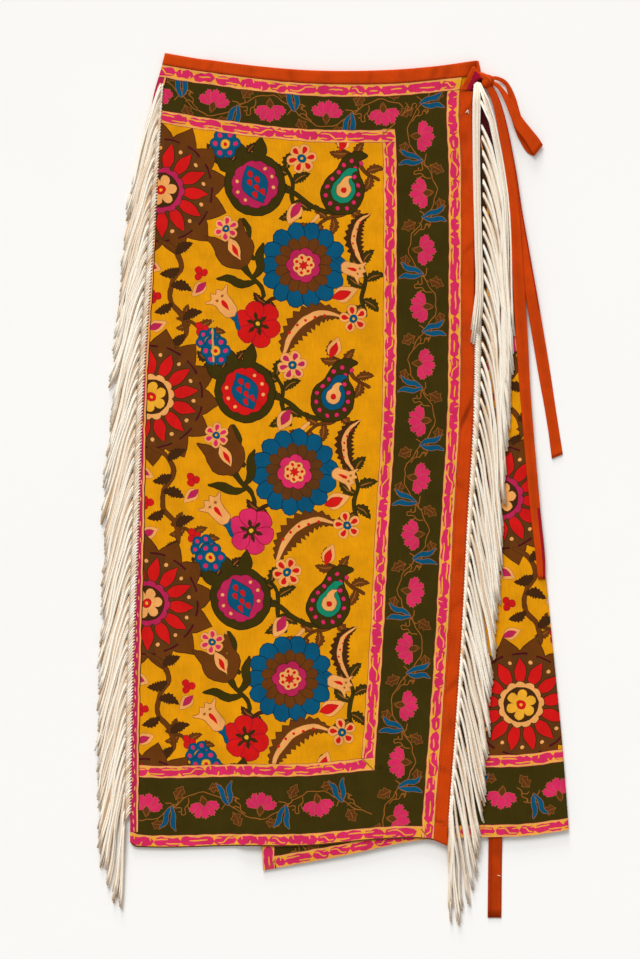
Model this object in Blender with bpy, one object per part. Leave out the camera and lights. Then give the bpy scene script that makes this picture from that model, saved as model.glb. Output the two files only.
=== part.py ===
"""Midi wrap skirt of printed cotton, laid flat with its waist closed.

The frame: X runs across the skirt, Y from the hem up to the waist and Z up off the surface it lies on.
The back panel lies lowest. It folds over at the right side into the underlap, and the front panel with
its bound and fringed free edge lies on both. The free ties are knotted in a single bow at the waist.
Every table holds metres.
"""

import math

import bmesh
import bpy
import numpy as np

# Thicknesses of the cloth and of the sewn trims, and the space left at each seam
CLOTH = 0.0012
DOUBLE_CLOTH = 0.0018
GAP = 0.0003
STEP = CLOTH + GAP

# Heights of the layers above the surface, lowest first
TIE_LAYER = STEP
UNDERLAP_LAYER = 2 * STEP
FRONT_ON_BACK = STEP
FRONT_ON_UNDERLAP = 3 * STEP
FOLD_RADIUS = (UNDERLAP_LAYER + CLOTH) / 2

# Edges of the front panel as it lies, each from its upper or left end: x, y
FRONT_SEAM = (
    (-0.1855, 0.4625), (-0.1445, 0.4555), (-0.0835, 0.4470), (-0.0300, 0.4420),
    (0.0190, 0.4405), (0.0690, 0.4415), (0.1410, 0.4485),
)
FRONT_LEFT = (
    (-0.1855, 0.4625), (-0.1960, 0.4235), (-0.1985, 0.3830), (-0.2025, 0.2655),
    (-0.2110, 0.1095), (-0.2145, -0.0560), (-0.2195, -0.2610), (-0.2205, -0.3840),
)
FREE_EDGE = (
    (0.1380, 0.4335), (0.1395, 0.3525), (0.1397, 0.2610), (0.1380, 0.0810), (0.1313, -0.0355),
    (0.1255, -0.1530), (0.1183, -0.2620), (0.1104, -0.3710), (0.1100, -0.3815),
)
FRONT_HEM = (
    (-0.2205, -0.3840), (-0.2165, -0.3885), (-0.2080, -0.3895), (-0.1010, -0.3880),
    (-0.0245, -0.3875), (0.0135, -0.3840), (0.0520, -0.3805), (0.0965, -0.3795), (0.1100, -0.3815),
)

# Upper edge of the waistband, and where its lower edge runs on past the front panel: x, y
BAND_TOP = (
    (-0.1825, 0.4755), (-0.1445, 0.4690), (-0.0835, 0.4610), (-0.0300, 0.4565),
    (0.0190, 0.4555), (0.0690, 0.4570), (0.1150, 0.4610), (0.1590, 0.4672),
)
BAND_END = (0.1530, 0.4502)
BAND_TAPER = 0.983

# Side fold where the back panel turns over into the underlap, and the edges hidden inside: x, y
SIDE_FOLD = (
    (0.1620, 0.4525), (0.1662, 0.4246), (0.1793, 0.3810), (0.1935, 0.3156), (0.2044, 0.2066),
    (0.2153, 0.0976), (0.2245, -0.0114), (0.2393, -0.1640), (0.2502, -0.2763), (0.2574, -0.3705),
)
BACK_HEM = ((-0.2160, -0.3790), (-0.0350, -0.3800), (0.1060, -0.3755), (0.2045, -0.3740), (0.2574, -0.3705))
BACK_INSET = 0.0025
BACK_STATIONS = (0.4235, 0.3830, 0.2655, 0.1095, -0.2000)
UNDERLAP_EDGE = ((-0.1140, 0.4510), (-0.0950, 0.0200), (-0.0756, -0.4150))
UNDERLAP_HEM = (
    (-0.0756, -0.4150), (0.0136, -0.3984), (0.0965, -0.3815), (0.1630, -0.3785),
    (0.2120, -0.3770), (0.2574, -0.3705),
)
UNDERLAP_SAG = 0.0022
SAG_LENGTH = 0.0350
LAP_RISE = 0.0140
LAP_CLEAR = 0.0170

# Soft ridges where the front panel doesn't lie quite flat: x, y of the middle, half length, height
FRONT_RIDGES = (
    (-0.0850, 0.3300, 0.0450, 0.0010),
    (-0.1500, 0.3050, 0.0600, 0.0009),
    (0.0700, 0.2900, 0.0500, 0.0008),
    (-0.0500, -0.0300, 0.0900, 0.0008),
    (0.0500, -0.3000, 0.0700, 0.0009),
)
RIDGE_WIDTH = 0.0130

# Binding along the free edge, and the narrow heading that each fringe hangs from
BINDING_WIDTH = 0.0148
BINDING_SLANT = 0.0060
HEADING_WIDTH = 0.0036
HEADING_HEIGHT = 0.0018
RIGHT_HEADING_END = -0.3680
LEFT_HEADING = (
    (-0.1845, 0.4440), (-0.1880, 0.3830), (-0.1950, 0.2655), (-0.2060, 0.1095),
    (-0.2120, -0.0560), (-0.2165, -0.1730), (-0.2185, -0.2610), (-0.2200, -0.3700),
)

# Fringe strands: how many on each side, their three-sided section and the three layers they lie in
STRANDS = 84
STRAND_WIDTH = 0.0013
STRAND_HEIGHT = 0.0008
LAYER_RISE = 0.0013
LAYERS = 3
FLOOR_CLEAR = 0.0004
ROOT_WIDTH = 0.0011
HEADING_TAIL = 0.12
FALL_POWER = 0.67
TRIM_SHARE = 0.05
TRIM_TURN = math.tau / LAYERS

# Fall of a strand by its share of the way down the heading: share, length, spread out, sway back
LEFT_FALL = (
    (0.00, 0.265, 0.0490, 0.0),
    (0.45, 0.270, 0.0436, 0.0),
    (0.62, 0.262, 0.0408, 0.0),
    (0.78, 0.215, 0.0370, 0.0),
    (0.90, 0.148, 0.0230, 0.0),
    (1.00, 0.084, 0.0070, 0.0),
)
RIGHT_FALL = (
    (0.00, 0.280, 0.0340, 0.0),
    (0.30, 0.265, 0.0290, 0.0),
    (0.55, 0.245, 0.0250, 0.0),
    (0.75, 0.215, 0.0230, 0.0),
    (0.90, 0.158, 0.0150, 0.0),
    (0.96, 0.135, 0.0080, 0.0020),
    (1.00, 0.1095, 0.0065, 0.0120),
)
STRAND_STOPS = (0.04, 0.12, 0.30, 0.60, 1.00)

# Where strands leave the cloth: shares of the length on the left, y of the hem and of the surface on the right
LEFT_DROP_START = 0.12
LEFT_DROP_END = 0.30
HEM_LEVEL = -0.3830
FLOOR_LEVEL = -0.4200

# The tie that grows out of the binding, then its knot
ROOT_ROWS = (
    (0.1380, 0.4341, 0.1530, 0.4342, 0.0063),
    (0.1416, 0.4415, 0.1548, 0.4375, 0.0067),
    (0.1458, 0.4488, 0.1570, 0.4405, 0.0069),
    (0.1530, 0.4600, 0.1590, 0.4435, 0.0068),
    (0.1632, 0.4510, 0.1634, 0.4450, 0.0054),
)
KNOT_CENTRE = (0.1708, 0.4452, 0.0056)
KNOT_HALF = (0.0068, 0.0082, 0.0052)
KNOT_SIDES = 16
KNOT_RINGS = 10

# Sides of the tie ends from the knot down: y, left x, right x, height
UPPER_TIE = (
    (0.4360, 0.1668, 0.1733, 0.0060), (0.4145, 0.1755, 0.1830, 0.0060), (0.3910, 0.1800, 0.1890, 0.0060),
    (0.3700, 0.1838, 0.1940, 0.0060), (0.3430, 0.1884, 0.2000, 0.0060), (0.3100, 0.1922, 0.2040, 0.0060),
    (0.2700, 0.1955, 0.2065, 0.0060), (0.2175, 0.1985, 0.2095, 0.0060), (0.1740, 0.2000, 0.2120, 0.0048),
    (0.1020, 0.2040, 0.2160, 0.0045), (0.0300, 0.2095, 0.2215, 0.0045), (-0.0255, 0.2155, 0.2265, 0.0045),
    (-0.0770, 0.2215, 0.2315, 0.0045), (-0.0975, 0.2235, 0.2315, 0.0045),
)
LOWER_TIE = (
    (0.4360, 0.1682, 0.1748, 0.0045), (0.4145, 0.1765, 0.1840, 0.0045), (0.3910, 0.1810, 0.1905, 0.0045),
    (0.3700, 0.1848, 0.1950, 0.0045), (0.3430, 0.1892, 0.2010, 0.0045), (0.3100, 0.1940, 0.2062, 0.0045),
    (0.2700, 0.1995, 0.2130, 0.0045), (0.2175, 0.2085, 0.2218, 0.0045), (0.1740, 0.2162, 0.2295, 0.0022),
    (0.1270, 0.2242, 0.2374, 0.0004), (0.0865, 0.2315, 0.2435, 0.0000), (0.0385, 0.2390, 0.2510, 0.0000),
)
LOWER_TIE_SLANT = 0.0050

# The bow loop, out along its lower ply and back along its upper ply: outer x, y, inner x, y, height
LOOP_ROWS = (
    (0.1768, 0.4500, 0.1780, 0.4462, 0.0050),
    (0.1875, 0.4470, 0.1865, 0.4410, 0.0022),
    (0.1950, 0.4375, 0.1905, 0.4325, 0.0006),
    (0.2015, 0.4210, 0.1935, 0.4200, 0.0002),
    (0.2075, 0.4045, 0.1985, 0.4005, 0.0002),
    (0.2168, 0.3915, 0.2060, 0.3805, 0.0002),
    (0.2262, 0.3785, 0.2165, 0.3665, 0.0002),
    (0.2282, 0.3762, 0.2182, 0.3642, 0.0012),
    (0.2288, 0.3756, 0.2186, 0.3636, 0.0026),
    (0.2282, 0.3762, 0.2182, 0.3642, 0.0040),
    (0.2250, 0.3830, 0.2100, 0.3710, 0.0052),
    (0.2170, 0.3910, 0.2040, 0.3815, 0.0060),
    (0.2075, 0.4045, 0.1980, 0.3950, 0.0066),
    (0.1965, 0.4200, 0.1895, 0.4140, 0.0068),
    (0.1885, 0.4310, 0.1845, 0.4270, 0.0066),
    (0.1776, 0.4421, 0.1760, 0.4389, 0.0062),
)
LOOP_THICKNESS = 0.0010

# The inner tie, sewn in at the waist between back panel and underlap: y, left x, height
INNER_TIE_WIDTH = 0.0150
INNER_TIE = (
    (0.4330, 0.1260, TIE_LAYER), (0.3800, 0.1480, TIE_LAYER), (0.3000, 0.1600, TIE_LAYER),
    (0.2000, 0.1650, TIE_LAYER), (-0.1500, 0.1685, TIE_LAYER), (-0.3760, 0.1700, TIE_LAYER),
    (-0.3960, 0.1698, 0.0), (-0.4665, 0.1690, 0.0),
)

# Mesh columns and rows of the panels
FRONT_COLUMNS = 24
FRONT_ROWS = 30
SIDE_COLUMNS = 9
FOLD_COLUMNS = 5
SIDE_ROWS = 22
SHARP_ANGLE = math.radians(40)

PRINTED_COTTON = ("printed_cotton", (0.86, 0.43, 0.03), 0.80)
ORANGE_COTTON = ("orange_cotton", (0.60, 0.06, 0.002), 0.75)
IVORY_FRINGE = ("ivory_fringe", (0.87, 0.78, 0.64), 0.85)


def clear_scene():
    for old in list(bpy.data.objects):
        bpy.data.objects.remove(old, do_unlink=True)


def finish(name, material_row):
    """One cloth material for one piece."""
    slot, colour, roughness = material_row
    made = bpy.data.materials.new(slot + "_" + name)
    made.use_nodes = True
    shader = made.node_tree.nodes["Principled BSDF"]
    shader.inputs["Base Color"].default_value = (*colour, 1.0)
    shader.inputs["Roughness"].default_value = roughness
    shader.inputs["Metallic"].default_value = 0.0
    made.diffuse_color = (*colour, 1.0)
    return made


def along(points, share):
    """The point at a share of the way along a smooth curve through the given points."""
    knots = np.array(points, dtype=float)
    lengths = np.linalg.norm(np.diff(knots, axis=0), axis=1)
    stations = np.concatenate([[0.0], np.cumsum(lengths)]) / lengths.sum()
    span = int(np.clip(np.searchsorted(stations, share, side="right") - 1, 0, len(knots) - 2))
    width = stations[span + 1] - stations[span]
    local = (share - stations[span]) / width
    chords = np.diff(knots, axis=0) / np.diff(stations)[:, None]
    before = chords[max(span - 1, 0)]
    after = chords[min(span + 1, len(chords) - 1)]
    start_slope = (before + chords[span]) / 2 * width
    end_slope = (after + chords[span]) / 2 * width
    square = local * local
    cube = square * local
    return (
        (2 * cube - 3 * square + 1) * knots[span]
        + (cube - 2 * square + local) * start_slope
        + (3 * square - 2 * cube) * knots[span + 1]
        + (cube - square) * end_slope
    )


def patch(left, right, top, bottom, columns, rows):
    """Points of a panel between its four edges: a list of rows, each from left to right."""
    corners = [np.array(end) for end in (left[0], right[0], left[-1], right[-1])]
    grid = []
    for row in range(rows + 1):
        down = row / rows
        side_left = along(left, down)
        side_right = along(right, down)
        line = []
        for column in range(columns + 1):
            across = column / columns
            sides = (1 - across) * side_left + across * side_right
            ends = (1 - down) * along(top, across) + down * along(bottom, across)
            upper = (1 - across) * corners[0] + across * corners[1]
            lower = (1 - across) * corners[2] + across * corners[3]
            line.append(sides + ends - (1 - down) * upper - down * lower)
        grid.append(line)
    return grid


def ease(value):
    """A smooth step from 0 to 1."""
    bounded = min(max(value, 0.0), 1.0)
    return bounded * bounded * (3 - 2 * bounded)


def across_at(points, height):
    """The x of an edge that runs down the sheet, at this y."""
    table = np.array(sorted((y, x) for x, y in points))
    return float(np.interp(height, table[:, 0], table[:, 1]))


def height_at(points, x):
    """The y of an edge that runs across the sheet, at this x."""
    table = np.array(sorted(points))
    return float(np.interp(x, table[:, 0], table[:, 1]))


def underlap_base(x, y):
    """Underside of the underlap. Past the front panel's hem its free corner sinks towards the surface."""
    past_hem = ease((height_at(FRONT_HEM, x) - y) / SAG_LENGTH)
    return UNDERLAP_LAYER - UNDERLAP_SAG * past_hem


def front_base(x, y):
    """Underside of the front panel: it climbs a soft step onto the underlap, and has soft ridges."""
    inside = x - across_at(UNDERLAP_EDGE, y)
    climb = ease((inside + LAP_CLEAR + LAP_RISE) / LAP_RISE)
    base = FRONT_ON_BACK + climb * UNDERLAP_LAYER
    for ridge_x, ridge_y, half_length, height in FRONT_RIDGES:
        side = (x - ridge_x) / RIDGE_WIDTH
        lengthwise = (y - ridge_y) / half_length
        base += height * math.exp(-side * side - lengthwise * lengthwise)
    return base


def wall(name, rows, thickness, material_row):
    """A closed wall: the rows of points are its outer face, and its thickness lies behind them."""
    mesh = bpy.data.meshes.new(name)
    builder = bmesh.new()
    lines = [[builder.verts.new(point) for point in row] for row in rows]
    for upper, lower in zip(lines, lines[1:]):
        for column in range(len(upper) - 1):
            builder.faces.new((upper[column], lower[column], lower[column + 1], upper[column + 1]))
    builder.to_mesh(mesh)
    builder.free()
    mesh.shade_smooth()
    mesh.set_sharp_from_angle(angle=SHARP_ANGLE)
    made = bpy.data.objects.new(name, mesh)
    bpy.context.scene.collection.objects.link(made)
    solid = made.modifiers.new("cloth thickness", "SOLIDIFY")
    solid.thickness = thickness
    solid.offset = -1.0
    solid.use_even_offset = True
    made.data.materials.append(finish(name, material_row))
    return made


def front_panel():
    right_edge = (FRONT_SEAM[-1], *FREE_EDGE)
    flat = patch(FRONT_LEFT, right_edge, FRONT_SEAM, FRONT_HEM, FRONT_COLUMNS, FRONT_ROWS)
    rows = [[(x, y, front_base(x, y) + CLOTH) for x, y in line] for line in flat]
    wall("front_panel", rows, CLOTH, PRINTED_COTTON)


def folded_rows(under_flat, back_flat):
    """Rows that run over the upper layer to the side fold, round it, and back under the lower layer."""
    rows = []
    for upper, lower in zip(under_flat, back_flat):
        line = [(x, y, underlap_base(x, y) + CLOTH) for x, y in upper[:-1]]
        fold_x, fold_y = upper[-1]
        for step in range(FOLD_COLUMNS + 1):
            turn = math.pi * step / FOLD_COLUMNS
            line.append((
                fold_x + FOLD_RADIUS * math.sin(turn),
                fold_y,
                FOLD_RADIUS * (1 + math.cos(turn)),
            ))
        line.extend((x, y, 0.0) for x, y in reversed(lower[:-1]))
        rows.append(line)
    return rows


def moved(points, x_step=0.0, y_step=0.0):
    return tuple((x + x_step, y + y_step) for x, y in points)


def side_panels():
    """Flat points of the underlap and of the back panel, which share the side fold."""
    fold = moved(SIDE_FOLD, -FOLD_RADIUS)
    seam_start = (FRONT_LEFT[0][0] + BACK_INSET, FRONT_LEFT[0][1])
    back_left = [(across_at(FRONT_LEFT, y) + BACK_INSET, y) for y in BACK_STATIONS]
    back_left = (seam_start, *back_left, BACK_HEM[0])
    back_seam = (seam_start, *FRONT_SEAM[1:-1], fold[0])
    back_hem = (*BACK_HEM[:-1], fold[-1])
    back = patch(back_left, fold, back_seam, back_hem, SIDE_COLUMNS, SIDE_ROWS)
    under_seam = (UNDERLAP_EDGE[0], *FRONT_SEAM[3:-1], fold[0])
    under_hem = (*UNDERLAP_HEM[:-1], fold[-1])
    under = patch(UNDERLAP_EDGE, fold, under_seam, under_hem, SIDE_COLUMNS, SIDE_ROWS)
    return under, back


def back_and_underlap():
    """The back panel and the underlap, cut as one cloth and folded at the right side."""
    under, back = side_panels()
    wall("back_and_underlap", folded_rows(under, back), CLOTH, PRINTED_COTTON)


def band_rows(seam_line):
    """Upper and lower edge of a waistband that stands on a panel's seam line."""
    lower = [(x, y + GAP) for x, y in seam_line]
    upper = [(x * BAND_TAPER, height_at(BAND_TOP, x * BAND_TAPER)) for x, y in seam_line]
    return upper, lower


def front_waistband():
    """Folded bias strip that closes the front panel's upper edge."""
    seam_line = [along(FRONT_SEAM, column / FRONT_COLUMNS) for column in range(FRONT_COLUMNS + 1)]
    seam_line.append(BAND_END)
    rows = [[(x, y, front_base(x, y) + DOUBLE_CLOTH) for x, y in line] for line in band_rows(seam_line)]
    wall("front_waistband", rows, DOUBLE_CLOTH, ORANGE_COTTON)


def inner_waistband():
    """The same strip along the upper edges of back panel and underlap, folded with them."""
    under, back = side_panels()
    rows = folded_rows(band_rows(under[0]), band_rows(back[0]))
    wall("inner_waistband", rows, CLOTH, ORANGE_COTTON)


def bound_edge():
    """The front panel's own free edge points, from the top of the binding down."""
    path = (FRONT_SEAM[-1], *FREE_EDGE)
    panel_edge = [tuple(along(path, row / FRONT_ROWS)) for row in range(FRONT_ROWS + 1)]
    top_y = FREE_EDGE[0][1]
    below = [point for point in panel_edge if point[1] < top_y - GAP]
    return [(across_at(panel_edge, top_y), top_y), *below]


def edge_binding():
    """Folded bias strip down the free edge of the front panel."""
    rows = []
    for x, y in bound_edge():
        inner_x = x + GAP
        outer_x = inner_x + BINDING_WIDTH
        height = front_base(outer_x, y) + DOUBLE_CLOTH
        rows.append([(inner_x, y, height), (outer_x, y, height)])
    last_inner, last_outer = rows[-1]
    rows[-1] = [last_inner, (last_outer[0], last_outer[1] - BINDING_SLANT, last_outer[2])]
    wall("edge_binding", rows, DOUBLE_CLOTH, ORANGE_COTTON)


def table_row(table, share):
    """Length, spread and sway of a strand, read between the rows of its table."""
    values = np.array(table)
    return tuple(float(np.interp(share, values[:, 0], values[:, column])) for column in (1, 2, 3))


def strand_height(side, x, y, base, down):
    """Underside of the lowest layer of strands: on the cloth first, then down onto the surface."""
    if side < 0:
        drop = ease((down - LEFT_DROP_START) / (LEFT_DROP_END - LEFT_DROP_START))
        return base + (FLOOR_CLEAR - base) * drop
    past_hem = min(max((HEM_LEVEL - y) / (HEM_LEVEL - FLOOR_LEVEL), 0.0), 1.0)
    return base + (FLOOR_CLEAR - base) * past_hem


def strand_path(side, root, fall, trim, base, lift):
    """Centre points of one strand past its root. It leaves the heading sideways and falls to the hem."""
    length, spread, sway = fall

    def place(down):
        out = spread * down**FALL_POWER - sway * down**2
        return root[0] + side * out, root[1] - length * down

    stops = [*STRAND_STOPS[:-1], STRAND_STOPS[-1] * trim]
    if side > 0:
        for level in (HEM_LEVEL, FLOOR_LEVEL):
            crossing = (root[1] - level) / length
            if stops[0] < crossing < stops[-1]:
                stops.append(crossing)
    path = []
    for down in sorted(stops):
        x, y = place(down)
        path.append((x, y, strand_height(side, x, y, base, down) + lift))
    return path


def fringe(name, side, heading, base, falls):
    """A narrow heading whose strands grow out of its outer side: -1 is the left side, 1 the right."""
    builder = bmesh.new()
    sections = []
    for index in range(STRANDS + 2):
        share = min(index / (STRANDS + HEADING_TAIL), 1.0)
        y = heading[0][1] + share * (heading[-1][1] - heading[0][1])
        x = across_at(heading, y)
        outer_x = x + side * HEADING_WIDTH
        top = base + HEADING_HEIGHT
        has_strand = 0 < index <= STRANDS
        half_root = ROOT_WIDTH / 2 if has_strand else 0.0
        section = {
            "share": share,
            "root": (outer_x, y),
            "inner_top": builder.verts.new((x, y, top)),
            "inner_low": builder.verts.new((x, y, base)),
            "outer_top": builder.verts.new((outer_x, y, top)),
            "upper_low": builder.verts.new((outer_x, y + half_root, base)),
        }
        section["lower_low"] = section["upper_low"]
        if has_strand:
            section["lower_low"] = builder.verts.new((outer_x, y - half_root, base))
        sections.append(section)
    for first, second in zip(sections, sections[1:]):
        builder.faces.new((first["inner_top"], first["outer_top"], second["outer_top"], second["inner_top"]))
        builder.faces.new((first["inner_low"], first["inner_top"], second["inner_top"], second["inner_low"]))
        builder.faces.new((first["outer_top"], first["lower_low"], second["upper_low"], second["outer_top"]))
        builder.faces.new((first["lower_low"], first["inner_low"], second["inner_low"], second["upper_low"]))
    for end in (sections[0], sections[-1]):
        builder.faces.new((end["inner_top"], end["inner_low"], end["upper_low"], end["outer_top"]))
    for index, section in enumerate(sections[1:-1]):
        builder.faces.new((section["inner_low"], section["upper_low"], section["lower_low"]))
        fall = table_row(falls, section["share"])
        trim = 1 - TRIM_SHARE * (0.5 + 0.5 * math.cos(TRIM_TURN * index))
        lift = LAYER_RISE * (index % LAYERS)
        path = strand_path(side, section["root"], fall, trim, base, lift)
        grow_strand(builder, section, path)
    bmesh.ops.recalc_face_normals(builder, faces=builder.faces)
    if builder.calc_volume(signed=True) < 0:
        bmesh.ops.reverse_faces(builder, faces=builder.faces)
    mesh = bpy.data.meshes.new(name)
    builder.to_mesh(mesh)
    builder.free()
    made = bpy.data.objects.new(name, mesh)
    bpy.context.scene.collection.objects.link(made)
    made.data.materials.append(finish(name, IVORY_FRINGE))


def grow_strand(builder, section, path):
    """Three-sided strand from its root triangle on the heading to its cut end."""
    root_x, root_y = section["root"]
    upper, lower, crest = section["upper_low"], section["lower_low"], section["outer_top"]
    before = np.array((root_x, root_y))
    for step, (x, y, height) in enumerate(path):
        here = np.array((x, y))
        after = np.array(path[step + 1][:2]) if step + 1 < len(path) else here
        heading_to = after - before
        heading_to /= np.linalg.norm(heading_to)
        outward = np.array((-heading_to[1], heading_to[0]))
        if outward[1] < 0:
            outward = -outward
        upper_here = here + outward * STRAND_WIDTH / 2
        lower_here = here - outward * STRAND_WIDTH / 2
        next_upper = builder.verts.new((*upper_here, height))
        next_lower = builder.verts.new((*lower_here, height))
        next_crest = builder.verts.new((x, y, height + STRAND_HEIGHT))
        builder.faces.new((upper, lower, next_lower, next_upper))
        builder.faces.new((lower, crest, next_crest, next_lower))
        builder.faces.new((crest, upper, next_upper, next_crest))
        upper, lower, crest = next_upper, next_lower, next_crest
        before = here
    builder.faces.new((upper, lower, crest))


def left_fringe():
    base = FRONT_ON_BACK + STEP
    fringe("left_fringe", -1, LEFT_HEADING, base, LEFT_FALL)


def right_fringe():
    edge = bound_edge()
    last_y = RIGHT_HEADING_END
    edge = [*(point for point in edge if point[1] > last_y), (across_at(edge, last_y), last_y)]
    heading = moved(edge, BINDING_WIDTH + 2 * GAP)
    fringe("right_fringe", 1, heading, FRONT_ON_UNDERLAP, RIGHT_FALL)


def tie_root():
    """The tie leaves the top of the edge binding, folds over the waistband and runs into the knot."""
    rows = [[(lx, ly, z + CLOTH), (rx, ry, z + CLOTH)] for lx, ly, rx, ry, z in reversed(ROOT_ROWS)]
    wall("tie_root", rows, CLOTH, ORANGE_COTTON)


def knot():
    mesh = bpy.data.meshes.new("bow_knot")
    builder = bmesh.new()
    bmesh.ops.create_uvsphere(builder, u_segments=KNOT_SIDES, v_segments=KNOT_RINGS, radius=1.0)
    for point in builder.verts:
        point.co = [place * half for place, half in zip(point.co, KNOT_HALF)]
    builder.to_mesh(mesh)
    builder.free()
    mesh.shade_smooth()
    made = bpy.data.objects.new("bow_knot", mesh)
    made.location = KNOT_CENTRE
    bpy.context.scene.collection.objects.link(made)
    made.data.materials.append(finish("bow_knot", ORANGE_COTTON))


def tie_ends():
    upper = [[(left, y, z + CLOTH), (right, y, z + CLOTH)] for y, left, right, z in UPPER_TIE]
    wall("upper_tie_end", upper, CLOTH, ORANGE_COTTON)
    lower = [[(left, y, z + CLOTH), (right, y, z + CLOTH)] for y, left, right, z in LOWER_TIE]
    last_left, last_right = lower[-1]
    lower[-1] = [(last_left[0], last_left[1] - LOWER_TIE_SLANT, last_left[2]), last_right]
    wall("lower_tie_end", lower, CLOTH, ORANGE_COTTON)


def bow_loop():
    rows = [[(ox, oy, z), (ix, iy, z)] for ox, oy, ix, iy, z in LOOP_ROWS]
    wall("bow_loop", rows, LOOP_THICKNESS, ORANGE_COTTON)


def inner_tie():
    rows = [
        [(left, y, z + CLOTH), (left + INNER_TIE_WIDTH, y, z + CLOTH)]
        for y, left, z in INNER_TIE
    ]
    wall("inner_tie", rows, CLOTH, ORANGE_COTTON)


clear_scene()
back_and_underlap()
inner_waistband()
inner_tie()
front_panel()
front_waistband()
edge_binding()
left_fringe()
right_fringe()
tie_root()
knot()
tie_ends()
bow_loop()
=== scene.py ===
"""Wrap skirt of printed cotton with fringed edges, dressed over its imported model.

Flat measures are in millimetres in the skirt's own frame: x across, y from the hem up to the waist.
"""

import math
import random

import bpy
import numpy as np
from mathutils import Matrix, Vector, geometry


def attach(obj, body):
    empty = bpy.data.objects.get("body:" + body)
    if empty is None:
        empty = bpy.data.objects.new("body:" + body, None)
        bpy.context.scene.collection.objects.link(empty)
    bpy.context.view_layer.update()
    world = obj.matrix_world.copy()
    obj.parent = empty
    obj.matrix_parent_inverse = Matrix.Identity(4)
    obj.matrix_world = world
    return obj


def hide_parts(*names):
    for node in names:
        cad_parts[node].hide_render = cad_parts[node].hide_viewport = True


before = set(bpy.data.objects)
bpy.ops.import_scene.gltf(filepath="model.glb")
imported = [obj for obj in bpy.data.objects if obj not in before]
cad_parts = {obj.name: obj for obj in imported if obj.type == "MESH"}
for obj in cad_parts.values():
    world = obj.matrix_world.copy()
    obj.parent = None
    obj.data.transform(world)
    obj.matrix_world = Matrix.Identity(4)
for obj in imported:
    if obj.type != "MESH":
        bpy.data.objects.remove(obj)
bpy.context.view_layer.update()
bpy.ops.object.select_all(action="DESELECT")


# The surface, the light and the camera
# A pale matt table seen from straight above, as in a catalogue picture. Far soft lamps stand past the waist,
# one high and one low, so that shadows fall softly below the hem, and a pale room fills them.

PICTURE_HEIGHT = 1.0453
PICTURE_CENTRE = (-0.0136, 0.0109)
CAMERA_HEIGHT = 2.8
SENSOR_HEIGHT = 24.0
SURFACE_SIZE = 6.0
SURFACE_DROP = 0.0004


def linear(hex_colour):
    """An sRGB hex colour as the linear values that the shaders take."""
    parts = [int(hex_colour[place:place + 2], 16) / 255 for place in (1, 3, 5)]
    return tuple(part / 12.92 if part <= 0.04045 else ((part + 0.055) / 1.055) ** 2.4 for part in parts)


def add_node(tree, kind, sockets=None, **settings):
    """A node with its settings, and each named socket set to a value or linked from another's output."""
    made = tree.nodes.new(kind)
    for setting, value in settings.items():
        setattr(made, setting, value)
    for socket, source in (sockets or {}).items():
        if isinstance(source, bpy.types.NodeSocket):
            tree.links.new(source, made.inputs[socket])
        else:
            made.inputs[socket].default_value = source
    return made


def new_material(name):
    """A material with its tree and the Principled shader in it."""
    made = bpy.data.materials.new(name)
    made.use_nodes = True
    tree = made.node_tree
    return made, tree, tree.nodes["Principled BSDF"]


def placed(name, data):
    """A new object of the data, in the scene."""
    made = bpy.data.objects.new(name, data)
    bpy.context.scene.collection.objects.link(made)
    return made


bpy.ops.mesh.primitive_plane_add(size=SURFACE_SIZE, location=(0, 0, -SURFACE_DROP))
surface = bpy.context.object
surface.name = "table_surface"
# Matt white paint: a bright, even ground, with a mottle about 330 mm across that hardly shows.
table_paint, tree, shader = new_material("matt_white_table_paint")
place = add_node(tree, "ShaderNodeTexCoord").outputs["Object"]
mottle = add_node(tree, "ShaderNodeTexNoise", {"Vector": place, "Scale": 3.0, "Detail": 4.0})
pale, paler = (*linear("#F6F5F3"), 1), (*linear("#F9F8F6"), 1)
tone = add_node(tree, "ShaderNodeMix", {0: mottle.outputs["Fac"], 6: pale, 7: paler}, data_type="RGBA")
tree.links.new(tone.outputs[2], shader.inputs["Base Color"])
shader.inputs["Roughness"].default_value = 0.9
surface.data.materials.append(table_paint)

camera = placed("camera", bpy.data.cameras.new("camera"))
camera.location = (*PICTURE_CENTRE, CAMERA_HEIGHT)
camera.data.sensor_fit = "VERTICAL"
camera.data.sensor_height = SENSOR_HEIGHT
camera.data.lens = SENSOR_HEIGHT * CAMERA_HEIGHT / PICTURE_HEIGHT
camera.data.clip_end = 50
bpy.context.scene.camera = camera
bpy.context.scene.view_settings.view_transform = "Standard"


def far_lamps(name, place, strength, spread):
    """A bank of lamps far off, so that its light is even, with the soft shadows of its spread in degrees."""
    lamp = placed(name, bpy.data.lights.new(name, "SUN"))
    lamp.data.energy = strength
    lamp.data.angle = math.radians(spread)
    lamp.location = place
    lamp.rotation_euler = (-Vector(place)).to_track_quat("-Z", "Y").to_euler()


far_lamps("waist_side_lamps", (-1.0, 3.0, 2.4), 2.15, 30)
far_lamps("low_waist_side_lamps", (-0.5, 4.0, 0.95), 1.6, 14)
room = bpy.data.worlds.new("pale_room")
room.use_nodes = True
room.node_tree.nodes["Background"].inputs["Color"].default_value = (*linear("#FFFDFA"), 1)
room.node_tree.nodes["Background"].inputs["Strength"].default_value = 0.5
bpy.context.scene.world = room


# Back panel and underlap
# One length of plain-woven cotton, printed by screen in seventeen dyes and folded at the wearer's left side:
# the back lies face down on the table and the underlap comes round over it, under the front.

MM = 0.001
CLOTH = 1.2
STEP = 1.5
UNDERLAP_LAYER = 2 * STEP
FOLD_RADIUS = (UNDERLAP_LAYER + CLOTH) / 2
SHELL = 0.9
BINDING_WIDTH = 14.8

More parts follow.
